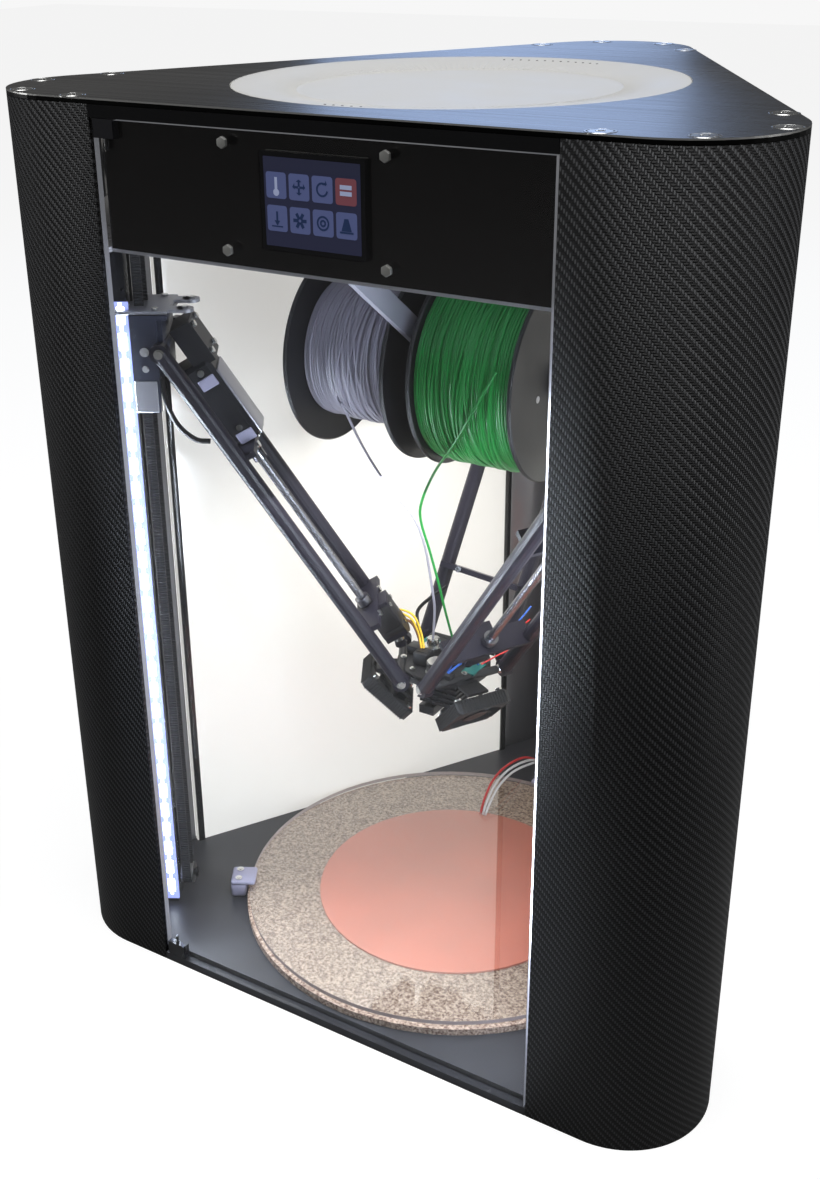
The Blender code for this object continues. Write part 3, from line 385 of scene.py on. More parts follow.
for name, angle in TOWERS.items():
    shape = bmesh.new()
    chart = shape.loops.layers.uv.new("UVMap")
    start = turn_z(-60) @ Vector((FACE_DISTANCE, OPENING_HALF, 0))
    path = [start]
    for i in range(49):
        bend = turn_z(-60 + 120 * i / 48) @ Vector((CORNER_RADIUS, 0, 0))
        path.append(Vector((ARC_CENTRE, 0, 0)) + bend)
    path.append(turn_z(60) @ Vector((FACE_DISTANCE, -OPENING_HALF, 0)))
    lower = [shape.verts.new(turn_z(angle) @ point) for point in path]
    edges = [shape.edges.new(pair) for pair in zip(lower, lower[1:])]
    raised = bmesh.ops.extrude_edge_only(shape, edges=edges)["geom"]
    upper = [item for item in raised if isinstance(item, bmesh.types.BMVert)]
    bmesh.ops.translate(shape, vec=(0, 0, SHELL_TOP), verts=upper)
    run = 0.0
    reach = {}
    for a, b in zip([lower[0], *lower], lower):
        run += (b.co - a.co).length
        reach[(round(b.co.x, 5), round(b.co.y, 5))] = run
    for face in shape.faces:
        for loop in face.loops:
            spot = loop.vert.co
            loop[chart].uv = (reach[(round(spot.x, 5), round(spot.y, 5))], spot.z)
    shell = piece(
        "skin_" + name, shape, [twill, bare_grey], "case", ["shell_" + name], 60
    )
    outward = turn_z(angle) @ Vector((1, 0, 0))
    middle = max(shell.data.polygons, key=lambda polygon: polygon.center.dot(outward))
    if middle.normal.dot(outward) < 0:
        shell.data.flip_normals()
    wall = shell.modifiers.new("Wall", "SOLIDIFY")
    wall.thickness = SHELL_WALL
    wall.offset = -1
    wall.use_even_offset = True
    wall.material_offset = 1


# ---------------------------------------------------------------------------
# Base, top plate, header and deck. The base is black sheet, the top plate is
# dark metal brushed along its length, and the deck is a pale clear sheet.
def give(node_name, *materials):
    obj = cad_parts[node_name]
    obj.data.materials.clear()
    for item in materials:
        obj.data.materials.append(item)
    return obj


base_black = worn("base_black", (0.030, 0.030, 0.036), 0.4, grain=900.0, depth=0.0)
give("base_plate", base_black)
header_gloss = worn("header_gloss", (0.008, 0.008, 0.009), 0.12, grain=60.0, depth=0.00002)
give("top_frame", header_gloss)
brushed = material("brushed_top", (0.055, 0.055, 0.058), 0.3, 1.0, Anisotropic=0.5)
streaks = noise(brushed, 1.0, 6.0, (6.0, 900.0, 6.0))
drive(brushed, "Base Color", tint(brushed, streaks, (0.16, 0.155, 0.15), (0.3, 0.295, 0.29)))
drive(brushed, "Roughness", spread(brushed, streaks, 0.24, 0.36))
raise_by(brushed, streaks, 0.00003, 0.5)
# The plate's outer edge is dark metal with a painted highlight: a bright band along its top 0.9 mm.
plate_edge_highlight = material("plate_edge_highlight", (0.03, 0.03, 0.03), 0.3, 1.0)
edge_place = add_node(plate_edge_highlight, "ShaderNodeTexCoord")
edge_height = add_node(plate_edge_highlight, "ShaderNodeSeparateXYZ", Vector=edge_place.outputs["Object"])
HIGHLIGHT_BAND = 0.0009
above = compute(plate_edge_highlight, "GREATER_THAN", edge_height.outputs["Z"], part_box("top_plate")[1].z - HIGHLIGHT_BAND)
drive(plate_edge_highlight, "Base Color", tint(plate_edge_highlight, above, (0.012, 0.012, 0.012), (0.8, 0.8, 0.78)))
top_plate = give("top_plate", brushed, plate_edge_highlight)
for polygon in top_plate.data.polygons:
    polygon.material_index = int(abs(polygon.normal.z) < 0.5)
deck_sheet = worn("deck_sheet", (0.72, 0.72, 0.78), 0.25, grain=100.0, depth=0.00001)
give("deck_plate", deck_sheet)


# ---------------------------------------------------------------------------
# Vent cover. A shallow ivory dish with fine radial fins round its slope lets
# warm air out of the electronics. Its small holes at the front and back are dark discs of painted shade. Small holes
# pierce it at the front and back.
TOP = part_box("top_plate")[1].z
VENT_RADIUS = 0.1347
DISC_RADIUS = 0.095
DISH_DEPTH = 0.0045
FIN_COUNT = 180


def add_box(shape, low, high, place=Matrix(), round_by=0.0, segments=2):
    low, high = Vector(low), Vector(high)
    spot = Matrix.Translation((low + high) / 2) @ Matrix.Diagonal((*(high - low), 1.0))
    made = bmesh.ops.create_cube(shape, size=1.0, matrix=place @ spot)["verts"]
    if round_by:
        edges = list({edge for vert in made for edge in vert.link_edges})
        bmesh.ops.bevel(
            shape,
            geom=edges,
            offset=round_by,
            affect="EDGES",
            segments=segments,
            profile=0.5,
            material=-1,
            clamp_overlap=True,
        )


def add_rod(shape, start, end, radius, segments=24, end_radius=None):
    start, end = Vector(start), Vector(end)
    turn = (end - start).to_track_quat("Z", "Y").to_matrix().to_4x4()
    bmesh.ops.create_cone(
        shape,
        cap_ends=True,
        segments=segments,
        radius1=radius,
        radius2=radius if end_radius is None else end_radius,
        depth=(end - start).length,
        matrix=Matrix.Translation((start + end) / 2) @ turn,
    )


def add_turned(shape, profile, place=Matrix(), steps=64):
    """A profile of (radius, height) pairs spun about the local Z axis."""
    turned = bmesh.new()
    spots = [turned.verts.new((radius, 0.0, height)) for radius, height in profile]
    edges = [turned.edges.new(pair) for pair in zip(spots, spots[1:])]
    bmesh.ops.spin(
        turned,
        geom=spots + edges,
        cent=(0, 0, 0),
        axis=(0, 0, 1),
        dvec=(0, 0, 0),
        angle=2 * math.pi,
        steps=steps,
        use_merge=True,
    )
    bmesh.ops.remove_doubles(turned, verts=turned.verts, dist=1e-6)
    bmesh.ops.recalc_face_normals(turned, faces=turned.faces)
    bmesh.ops.transform(turned, matrix=place, verts=turned.verts)
    mesh = bpy.data.meshes.new("turned")
    turned.to_mesh(mesh)
    turned.free()
    shape.from_mesh(mesh)


ivory = material("ivory", (0.84, 0.83, 0.80), 0.5)
raise_by(ivory, noise(ivory, 900.0, 2.0), 0.00003)
drive(ivory, "Roughness", spread(ivory, noise(ivory, 30.0), 0.42, 0.55))
shape = bmesh.new()
floor_z = TOP - DISH_DEPTH
add_turned(
    shape,
    [
        (0.0, floor_z),
        (DISC_RADIUS - 0.001, floor_z),
        (DISC_RADIUS, floor_z + 0.0002),
        (DISC_RADIUS + 0.001, floor_z + 0.0006),
        (VENT_RADIUS - 0.006, TOP - 0.0006),
        (VENT_RADIUS - 0.003, TOP),
        (VENT_RADIUS - 0.0005, TOP),
        (VENT_RADIUS, TOP - 0.0006),
        (VENT_RADIUS, TOP - 0.0033),
        (VENT_RADIUS + 0.005, TOP - 0.0033),
        (VENT_RADIUS + 0.005, TOP - 0.0053),
        (VENT_RADIUS - 0.006, TOP - 0.0053),
        (DISC_RADIUS + 0.002, floor_z - 0.003),
        (0.0, floor_z - 0.003),
    ],
    steps=128,
)
for i in range(FIN_COUNT):
    slope = Vector((VENT_RADIUS - DISC_RADIUS - 0.008, 0, DISH_DEPTH - 0.0016))
    middle = Vector(((VENT_RADIUS + DISC_RADIUS) / 2 - 0.003, 0, TOP - DISH_DEPTH / 2 - 0.0006))
    lean = Matrix.Rotation(-math.atan2(slope.z, slope.x), 4, "Y")
    place = turn_z(360 * i / FIN_COUNT) @ Matrix.Translation(middle) @ lean
    add_box(shape, (-slope.length / 2, -0.0005, -0.0006), (slope.length / 2, 0.0005, 0.0006), place)
piece("vent_dish", shape, [ivory], "case", ["vent_cover"])

# Painted shade: a dark disc stands for each hole, whose inside is in shade.
painted_hole_shade = material("painted_hole_shade", (0.01, 0.01, 0.01), 0.9)
shape = bmesh.new()
for side, count in ((90, 6), (270, 2)):
    for i in range(-count, count + 1):
        spot = turn_z(side + 2.6 * i) @ Vector((VENT_RADIUS - 0.010, 0, TOP - 0.0012))
        add_rod(shape, spot, spot + Vector((0, 0, 0.0004)), 0.0007, 10)
piece("vent_hole_shade", shape, [painted_hole_shade], "case")


# ---------------------------------------------------------------------------
# Top screws. Four countersunk steel screws at each corner hold the top plate
# down on the shells' brackets, each in its own dished seat.
steel = worn("bright_steel", (0.72, 0.72, 0.70), 0.25, 1.0, 900.0)
SCREW_RINGS = ((0.2555, 5.4), (0.2245, 14.0))
shape = bmesh.new()
for angle in TOWERS.values():
    for radius, half_angle in SCREW_RINGS:
        for side in (-1, 1):
            spot = turn_z(angle + side * half_angle) @ Vector((radius, 0, TOP + 0.0002))
            place = Matrix.Translation(spot)
            add_turned(
                shape,
                [
                    (0.0, -0.0009),
                    (0.0021, -0.0009),
                    (0.0025, 0.0),
                    (0.0060, 0.0),
                    (0.0062, -0.0003),
                    (0.0066, -0.0003),
                    (0.0068, 0.0),
                    (0.0075, 0.0),
                    (0.0077, -0.0002),
                    (0.0077, -0.0008),
                    (0.0, -0.0014),
                ],
                place,
                32,
            )
piece("top_screws", shape, [steel], "case")


# ---------------------------------------------------------------------------
# Side panels. Gloss white sheets fill the two back faces, held at their ends
# by narrow black trims. They carry a painted glow, an even emission in place of the light through and on them.
panel_white_glow = material(
    "panel_white_glow",
    (0.58, 0.57, 0.54),
    0.14,
    Emission_Color=(1.0, 0.975, 0.93, 1.0),
    Emission_Strength=0.5,
)
raise_by(panel_white_glow, noise(panel_white_glow, 9.0, 1.0), 0.0004, 0.3)
drive(panel_white_glow, "Roughness", spread(panel_white_glow, noise(panel_white_glow, 14.0), 0.10, 0.2))
trim_black = worn("trim_black", (0.01, 0.01, 0.011), 0.15, grain=80.0)
PANEL_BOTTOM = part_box("side_panel_left")[0].z
PANEL_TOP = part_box("side_panel_left")[1].z
PANEL_INNER = 0.1563
TRIM_WIDTH = 0.005
for name, angle in (("left", 150), ("right", 30)):
    give("side_panel_" + name, panel_white_glow)
    shape = bmesh.new()
    for side in (-1, 1):
        ends = sorted((side * (OPENING_HALF - 0.001), side * (OPENING_HALF - 0.001 - TRIM_WIDTH)))
        add_box(
            shape,
            (PANEL_INNER - 0.0022, ends[0], PANEL_BOTTOM),
            (PANEL_INNER - 0.0002, ends[1], PANEL_TOP - 0.08),
            turn_z(angle),
            0.0005,
        )
    piece("panel_trim_" + name, shape, [trim_black], "case")


# ---------------------------------------------------------------------------
# Door. A clear acrylic sheet hung on two pins. Its polished edges carry a painted highlight, a grey colour with a
# faint glow.
# Only the mirror share of each face shows, so the case reads clear.
def clear_sheet(name, tinted, mirror_low=0.035, gloss=0.01):
    made = bpy.data.materials.new(name)
    made.use_nodes = True
    tree = made.node_tree
    tree.nodes.remove(tree.nodes["Principled BSDF"])
    glancing = add_node(made, "ShaderNodeLayerWeight", Blend=0.5).outputs["Facing"]
    share = compute(made, "MULTIPLY_ADD", compute(made, "POWER", glancing, 5.0), 0.9, mirror_low)
    through = add_node(made, "ShaderNodeBsdfTransparent", Color=(*tinted, 1.0))
    mirror = add_node(made, "ShaderNodeBsdfAnisotropic", Color=(1, 1, 1, 1), Roughness=gloss)
    mixed = add_node(made, "ShaderNodeMixShader", Fac=share)
    tree.links.new(through.outputs[0], mixed.inputs[1])
    tree.links.new(mirror.outputs[0], mixed.inputs[2])
    tree.links.new(mixed.outputs[0], tree.nodes["Material Output"].inputs["Surface"])
    return made


acrylic = clear_sheet("clear_acrylic", (0.985, 0.99, 0.99))
acrylic_edge_glow = worn(
    "acrylic_edge_glow",
    (0.22, 0.22, 0.26),
    0.35,
    Emission_Color=(0.9, 0.93, 1.0, 1.0),
    Emission_Strength=0.12,
)
door = give("door_panel", acrylic, acrylic_edge_glow)
DOOR_LOW, DOOR_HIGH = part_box("door_panel")
# The thin edge faces take the edge material with its painted highlight.
for polygon in door.data.polygons:
    middle = polygon.center
    inset = min(middle.x - DOOR_LOW.x, DOOR_HIGH.x - middle.x, DOOR_HIGH.z - middle.z)
    polygon.material_index = int(abs(polygon.normal.y) < 0.5 and inset < 0.0005)

band_black = material("band_black", (0.007, 0.005, 0.005), 0.2, Specular_IOR_Level=0.2)
drive(band_black, "Roughness", spread(band_black, noise(band_black, 12.0), 0.14, 0.24))
give("control_panel", band_black)
hinge_black = worn("hinge_black", (0.014, 0.014, 0.018), 0.3, grain=600.0)
give("door_hinge_upper", hinge_black)
give("door_hinge_lower", hinge_black)

bolt_grey = worn("bolt_grey", (0.42, 0.42, 0.40), 0.45, 0.5, 900.0)
BOLT_OUT = 0.0507
shape = bmesh.new()
for x in (-BOLT_OUT, BOLT_OUT):
    for drop in (0.0177, 0.0743):
        spot = Vector((x + 0.0003, -FACE_DISTANCE, TOP - drop))
        add_rod(shape, spot + Vector((0, 0.0001, 0)), spot + Vector((0, -0.0022, 0)), 0.0032, 6)
bmesh.ops.bevel(
    shape,
    geom=[edge for edge in shape.edges if edge.calc_face_angle(0) > 1.2],
    offset=0.0003,
    affect="EDGES",
    segments=2,
    profile=0.5,
    material=-1,
)
piece("panel_bolts", shape, [bolt_grey], "door")


# ---------------------------------------------------------------------------
# Touch screen. A dark glass front with a header bar, and two rows of pale blue
# tiles under it, each with a plain sign for what it does.
SCREEN_LOW, SCREEN_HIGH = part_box("touch_screen")
screen_body = worn("screen_body", (0.01, 0.01, 0.012), 0.15, grain=90.0)
give("touch_screen", screen_body)


def lit(name, colour, glow):
    return material(name, colour, 0.25, Emission_Color=(*colour, 1.0), Emission_Strength=glow)


slate_glow = lit("screen_slate", (0.020, 0.022, 0.048), 0.5)
bar_glow = lit("screen_bar", (0.020, 0.022, 0.045), 0.5)
tile_glow = lit("screen_tile", (0.085, 0.105, 0.235), 0.42)
alert_glow = lit("screen_alert", (0.17, 0.055, 0.07), 0.45)
sign_glow = lit("screen_sign", (0.018, 0.035, 0.10), 0.3)
pale_glow = lit("screen_pale", (0.30, 0.34, 0.50), 0.5)
face_y = SCREEN_LOW.y
BEZEL = 0.0025
inner_low = Vector((SCREEN_LOW.x + BEZEL, 0, SCREEN_LOW.z + BEZEL))
inner_high = Vector((SCREEN_HIGH.x - BEZEL, 0, SCREEN_HIGH.z - BEZEL))


def flat_tile(name, low, high, lift, made, round_by=0.0006):
    """A thin lit plate on the screen, between two (x, z) corners."""
    shape = bmesh.new()
    add_box(shape, (low[0], face_y - lift, low[1]), (high[0], face_y - lift + 0.00012, high[1]))
    bmesh.ops.bevel(
        shape,
        geom=[edge for edge in shape.edges if abs((edge.verts[0].co - edge.verts[1].co).y) > 1e-5],
        offset=round_by,
        affect="EDGES",
        segments=3,
        profile=0.5,
        material=-1,
    )
    piece(name, shape, [made], "door")


flat_tile("screen_field", inner_low.xz, inner_high.xz, 0.00015, slate_glow)
bar_z = inner_high.z - 0.0065
flat_tile("screen_header", (inner_low.x, bar_z), inner_high.xz, 0.0003, bar_glow, 0.0003)
TILE_WIDTH, TILE_HEIGHT = 0.0128, 0.0135
COLUMN_PITCH = (inner_high.x - inner_low.x - 0.0020) / 4
ROW_HEIGHTS = (bar_z - 0.0012 - TILE_HEIGHT, bar_z - 0.0048 - 2 * TILE_HEIGHT)


def arrow(shape, centre, reach, angle):
    """A shaft with a pointed head, turned in the screen's plane."""
    turn = Matrix.Translation(centre) @ Matrix.Rotation(math.radians(angle), 4, "Y")
    add_box(shape, (-0.0006, -0.0001, -reach), (0.0006, 0.0001, reach * 0.4), turn)
    tip = turn @ Matrix.Translation((0, 0, reach * 0.3))
    add_rod(shape, tip @ Vector((0, 0, 0)), tip @ Vector((0, 0, reach * 0.7)), 0.0021, 3, 0.0002)


def ring(shape, centre, radius, width, start=0.0, sweep=360.0, steps=24):
    points = []
    for i in range(steps + (sweep < 360)):
        a = math.radians(start + sweep * i / steps)
        points.append(centre + Vector((radius * math.cos(a), 0, radius * math.sin(a))))
    add_tube(shape, points, width, 1, closed=sweep >= 360)


def sign_shape(kind, centre):
    shape = bmesh.new()
    if kind == "gauge":
        add_rod(shape, centre + Vector((0, 0, -0.003)), centre + Vector((0, 0, 0.0042)), 0.0009, 10)
        add_rod(shape, centre + Vector((0, 0.0001, -0.0036)), centre + Vector((0, -0.0001, -0.0036)), 0.0019, 16)
    elif kind == "move":
        for angle in (0, 90, 180, 270):
            offset = Matrix.Rotation(math.radians(angle), 3, "Y") @ Vector((0, 0, 0.0022))
            arrow(shape, centre + offset, 0.0018, angle)
    elif kind == "repeat":
        ring(shape, centre, 0.0032, 0.0006, 60, 290)
        arrow(shape, centre + Vector((0.0016, 0, 0.003)), 0.0014, 90)
    elif kind == "panel":
        for z in (-0.002, 0.0012):
            add_box(
                shape,
                centre + Vector((-0.0036, -0.0001, z)),
                centre + Vector((0.0036, 0.0001, z + 0.0022)),
            )
    elif kind == "down":
        arrow(shape, centre, 0.0036, 180)
        add_box(shape, centre + Vector((-0.0036, -0.0001, -0.0045)), centre + Vector((0.0036, 0.0001, -0.0038)))
    elif kind == "fan":
        for angle in range(0, 360, 60):
            blade = Matrix.Translation(centre) @ Matrix.Rotation(math.radians(angle), 4, "Y")
            add_box(shape, (0.0008, -0.0001, -0.0009), (0.0042, 0.0001, 0.0009), blade)
    elif kind == "roll":
        ring(shape, centre, 0.0034, 0.0006)
        ring(shape, centre, 0.0014, 0.0006)
    else:
        add_rod(shape, centre + Vector((0, 0, -0.0028)), centre + Vector((0, 0, 0.0036)), 0.0032, 16, 0.0012)
        add_box(shape, centre + Vector((-0.0042, -0.0001, -0.0040)), centre + Vector((0.0042, 0.0001, -0.0030)))
    bmesh.ops.scale(
        shape,
        vec=(1, 0.02, 1),
        verts=shape.verts,
        space=Matrix.Translation(-centre),
    )
    return shape


signs = (("gauge", "move", "repeat", "panel"), ("down", "fan", "roll", "bell"))
for row_index, kinds in enumerate(signs):
    for column_index, kind in enumerate(kinds):
        left = inner_low.x + 0.0014 + COLUMN_PITCH * column_index
        low_z = ROW_HEIGHTS[row_index]
        made = alert_glow if kind == "panel" else tile_glow
        flat_tile("tile_" + kind, (left, low_z), (left + TILE_WIDTH, low_z + TILE_HEIGHT), 0.0003, made, 0.0015)
        centre = Vector((left + TILE_WIDTH / 2, face_y - 0.00042, low_z + TILE_HEIGHT / 2))
        shade = pale_glow if kind in ("panel", "gauge") else sign_glow
        piece("sign_" + kind, sign_shape(kind, centre), [shade], "door")


# ---------------------------------------------------------------------------
# Towers. Black anodised square bars with slots, which the carriages ride on.
# A toothed belt runs up each face, over an idler below and a motor above.
anodised = worn("anodised_bar", (0.018, 0.018, 0.021), 0.34, 0.7, 700.0)
rubber = material("belt_rubber", (0.03, 0.03, 0.032), 0.7)
tooth_place = add_node(rubber, "ShaderNodeTexCoord")
tooth_wave = add_node(rubber, "ShaderNodeTexWave", Vector=tooth_place.outputs["Object"], Scale=157.0)
tooth_wave.bands_direction = "Z"
raise_by(rubber, tooth_wave.outputs["Fac"], 0.0008)
pulley_metal = worn("pulley_metal", (0.5, 0.5, 0.5), 0.3, 1.0, 900.0)
motor_black = worn("motor_black", (0.012, 0.012, 0.016), 0.36, 0.2, 800.0, 0.00001)
for name in TOWERS:
    give("tower_" + name, anodised)
    give("belt_" + name, rubber)
    give("idler_pulley_" + name, pulley_metal)
    give("drive_pulley_" + name, pulley_metal)
    give("drive_motor_" + name, motor_black)


# ---------------------------------------------------------------------------
# Light strips. A white flexible strip is stuck to the door side of each front
# tower, with a row of small square lights that give off a cool white glow.
LIGHT_PITCH = 0.01667
STRIP_RADIUS = 0.210
STRIP_OUT = 0.0170
strip_glow = lit("strip_glow", (0.34, 0.40, 0.85), 1.0)
chip_glow = lit("chip_glow", (0.80, 0.88, 1.0), 10.0)
COOL = (0.80, 0.88, 1.0)
for name, side in (("left", 1), ("right", -1)):
    low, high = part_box("led_strip_" + name)
    give("led_strip_" + name, strip_glow)
    shape = bmesh.new()
    for i in range(27):
        place = turn_z(TOWERS[name]) @ Matrix.Translation((STRIP_RADIUS, side * STRIP_OUT, low.z + 0.012 + LIGHT_PITCH * i))
        add_box(shape, (-0.0026, -0.0004, -0.0056), (0.0026, 0.0004, 0.0056), place, 0.0018, 3)
        add_box(shape, (-0.0009, -0.0002, -0.0083), (0.0009, 0.0002, 0.0083), place)
    piece("light_chips_" + name, shape, [chip_glow], "case")
    start = turn_z(TOWERS[name]) @ Vector((STRIP_RADIUS - 0.004, side * (STRIP_OUT + 0.003), 0.27))
    aim = start + turn_z(TOWERS[name]) @ Vector((-0.45, side, 0))
    lamp = soft_box("strip_light_" + name, start, aim, (0.36, 0.008), 1.6, COOL)
    facing = (aim - start).normalized()
    up = Vector((0, 0, 1))
    lamp.matrix_world = Matrix.Translation(start) @ Matrix(
        (up, facing.cross(up) * -1, -facing)
    ).transposed().to_4x4()
bed_lamp = soft_box("bed_lamp", (0.0, 0.0, 0.340), (0.0, 0.0, 0.0), (0.20, 0.20), 0.8, (1.0, 0.98, 0.95))
bed_lamp.visible_glossy = False


# ---------------------------------------------------------------------------
# Bed. A round glass plate lies on a silicone heater and a cork pad, held by
# three printed clips that are screwed to the base in front of the towers.
cork = material("cork_sheet", (0.40, 0.28, 0.19), 0.9)
grains = noise(cork, 560.0, 1.0)
drive(cork, "Base Color", tint(cork, spread(cork, grains, 0.0, 1.0), (0.15, 0.08, 0.055), (0.62, 0.47, 0.37)))
raise_by(cork, grains, 0.0004)
give("cork_pad", cork)
silicone = worn("heater_silicone", (0.70, 0.22, 0.15), 0.5, grain=300.0, depth=0.00001)
give("heater_pad", silicone)
bed_glass = clear_sheet("bed_glass", (0.97, 0.98, 0.975), 0.09)
glass_rim = worn("glass_rim", (0.46, 0.38, 0.37), 0.2)
glass = give("glass_plate", bed_glass, glass_rim)
for polygon in glass.data.polygons:
    polygon.material_index = int(abs(polygon.normal.z) < 0.5)

clip_lilac = worn("printed_lilac", (0.38, 0.37, 0.50), 0.55, grain=900.0, depth=0.00004)
GLASS_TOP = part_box("glass_plate")[1].z
GLASS_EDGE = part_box("glass_plate")[1].x
CORK_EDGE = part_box("cork_pad")[1].x
BASE_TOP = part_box("base_plate")[1].z
for name, angle in TOWERS.items():
    shape = bmesh.new()
    place = turn_z(angle)
    add_box(shape, (CORK_EDGE + 0.0008, -0.010, BASE_TOP + 0.0002), (CORK_EDGE + 0.0125, 0.010, GLASS_TOP + 0.0010), place, 0.0025, 3)
    add_box(shape, (GLASS_EDGE - 0.0040, -0.010, GLASS_TOP + 0.0003), (CORK_EDGE + 0.0125, 0.010, GLASS_TOP + 0.0040), place, 0.0018, 3)
    piece("bed_clip_" + name, shape, [clip_lilac], "case")
    shape = bmesh.new()
    for side in (-0.0055, 0.0055):
        spot = place @ Vector((CORK_EDGE + 0.0065, side, GLASS_TOP + 0.0032))
        add_rod(shape, spot, spot + Vector((0, 0, 0.0016)), 0.0026, 20)
        add_rod(shape, spot + Vector((0, 0, 0.0014)), spot + Vector((0, 0, 0.0019)), 0.0013, 6)
    piece("bed_clip_screws_" + name, shape, [steel], "case")


def wire(name, route, radius, made, body, steps=6):
    """A free lead between two places on one body."""
    path = smooth_path(route, steps)
    shape = bmesh.new()
    add_tube(shape, path, radius, 2)
    lead = piece(name, shape, [made], body)


red_lead = worn("red_lead", (0.55, 0.03, 0.03), 0.4)
white_lead = worn("white_lead", (0.7, 0.7, 0.72), 0.4)
black_lead = worn("black_lead", (0.012, 0.012, 0.014), 0.4)
blue_lead = worn("blue_lead", (0.05, 0.16, 0.62), 0.4)
yellow_lead = worn("yellow_lead", (0.75, 0.5, 0.04), 0.4)
brown_lead = worn("brown_lead", (0.16, 0.07, 0.03), 0.4)
for i, made in enumerate((red_lead, white_lead, white_lead)):
    out = 0.0022 * i
    wire(
        "heater_lead_" + str(i + 1),
        (
            (-0.0270 + out, 0.0930, BASE_TOP + 0.0076),
            (-0.0275 + out, 0.1010, BASE_TOP + 0.0180 - out),
            (-0.0290 + out * 1.2, 0.1180, BASE_TOP + 0.0255 - out),
            (-0.0290 + out * 1.3, 0.1420, BASE_TOP + 0.0262 - out),
            (-0.0265 + out * 1.3, 0.1700, BASE_TOP + 0.0200 - out),
            (-0.0225 + out * 1.2, 0.1950, BASE_TOP + 0.0035 + out),
        ),
        0.0010,
        made,
        "case",
    )


# ---------------------------------------------------------------------------
# Spools. Each is a black moulded reel, and its plastic strand is wound on it in
# uneven layers with a few loose turns that cross over the rest.
AXLE_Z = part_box("spool_white")[0].z + 0.0645
SPOOL_BORE = 0.0086
SPOOL_RIM = 0.0645
FLANGE = 0.003
WOUND = {"white": 0.046, "green": 0.0605}
reel_black = worn("reel_black", (0.008, 0.008, 0.010), 0.4, grain=300.0, depth=0.00001)
chance = random.Random(11)
for colour_name, wound in WOUND.items():
    low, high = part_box("spool_" + colour_name)
    width = high.x - low.x
    along_x = Matrix.Translation((low.x, 0, AXLE_Z)) @ Matrix.Rotation(math.radians(90), 4, "Y")
    shape = bmesh.new()
    add_turned(
        shape,
        [
            (SPOOL_BORE, 0.0004),
            (SPOOL_BORE + 0.0004, 0.0),
            (SPOOL_RIM - 0.0009, 0.0),
            (SPOOL_RIM, 0.0009),
            (SPOOL_RIM, FLANGE - 0.0009),
            (SPOOL_RIM - 0.0009, FLANGE),
            (0.026, FLANGE),
            (0.026, width - FLANGE),
            (SPOOL_RIM - 0.0009, width - FLANGE),
            (SPOOL_RIM, width - FLANGE + 0.0009),
            (SPOOL_RIM, width - 0.0009),
            (SPOOL_RIM - 0.0009, width),
            (SPOOL_BORE + 0.0004, width),
            (SPOOL_BORE, width - 0.0004),
            (SPOOL_BORE, 0.0004),
        ],
        along_x,
        96,
    )
    body = "spool_" + colour_name
    piece("reel_" + colour_name, shape, [reel_black], body, [body])
    shape = bmesh.new()
    inner = FLANGE + 0.0004
    count = int((width - 2 * inner) / STRAND_DIAMETER)
    pitch = (width - 2 * inner) / count
    profile = []
    for i in range(count):
        reach = wound - 0.0010 + chance.uniform(-0.0010, 0.0002)
        for k in range(5):
            bend = math.pi * (k + 0.5) / 5
            profile.append((reach + pitch / 2 * math.sin(bend), inner + pitch * (i + 0.5 - 0.5 * math.cos(bend))))
    add_turned(shape, profile, along_x, 72)
    for i in range(16):
        middle = chance.uniform(inner + 0.012, width - inner - 0.012)
        swing = chance.uniform(0.002, 0.010)
        turn = chance.uniform(0, 2 * math.pi)
        lift = chance.uniform(-0.0004, 0.0002)
        loop = []
        for k in range(56):
            a = 2 * math.pi * k / 56
            loop.append(along_x @ Vector(((wound + lift) * math.cos(a), (wound + lift) * math.sin(a), middle + swing * math.sin(a + turn))))
        add_tube(shape, loop, STRAND_DIAMETER / 2, 1, closed=True)
    piece("winding_" + colour_name, shape, [strand_materials[colour_name]], body)
    # Painted light: the flange holes are white discs that stand for the bright panel seen through them.
    shape = bmesh.new()
    for k in range(3):
        a = math.radians(120 * k + 40)
        for face in (0.0, width):
            spot = along_x @ Vector((0.029 * math.cos(a), 0.029 * math.sin(a), face))
            outward = Vector((-0.00015 if face == 0 else 0.00015, 0, 0))
            add_rod(shape, spot - outward, spot + outward, 0.0022, 20)
    piece("reel_hole_light_" + colour_name, shape, [white_lead], body)
holder_lilac = worn("holder_lilac", (0.42, 0.42, 0.50), 0.4, 0.2, 300.0)
give("spool_holder", holder_lilac)


# ---------------------------------------------------------------------------
# Arms. Three pairs of black carbon tubes hang the head from the carriages, with
# steel screws at their joints. Two of them carry a gearbox near the head.
HEAD = Vector((-0.0219, 0.0233, 0.1919))
HEAD_PIVOT_RADIUS = 0.0301
CARRIAGE_PIVOT_RADIUS = 0.184
ARM_LENGTH = 0.2898
ARM_SPREAD = 0.0653
KNUCKLE_WIDTH = 0.007


def arm_ends(name):
    """The middle of an arm's upper and lower pivots, in its tower's frame."""
    lower = turn_z(-TOWERS[name]) @ HEAD + Vector((HEAD_PIVOT_RADIUS, 0, 0))
    across = (lower.xy - Vector((CARRIAGE_PIVOT_RADIUS, 0))).length
    return Vector((CARRIAGE_PIVOT_RADIUS, 0, lower.z + math.sqrt(ARM_LENGTH**2 - across**2))), lower


def arm_place(name):
    upper, lower = arm_ends(name)
    along = (lower - upper).normalized()
    lift = along.cross(Vector((0, 1, 0))).normalized()
    if lift.z < 0:
        lift.negate()
    turn = Matrix((along, lift.cross(along), lift)).transposed().to_4x4()
    return turn_z(TOWERS[name]) @ Matrix.Translation(upper) @ turn


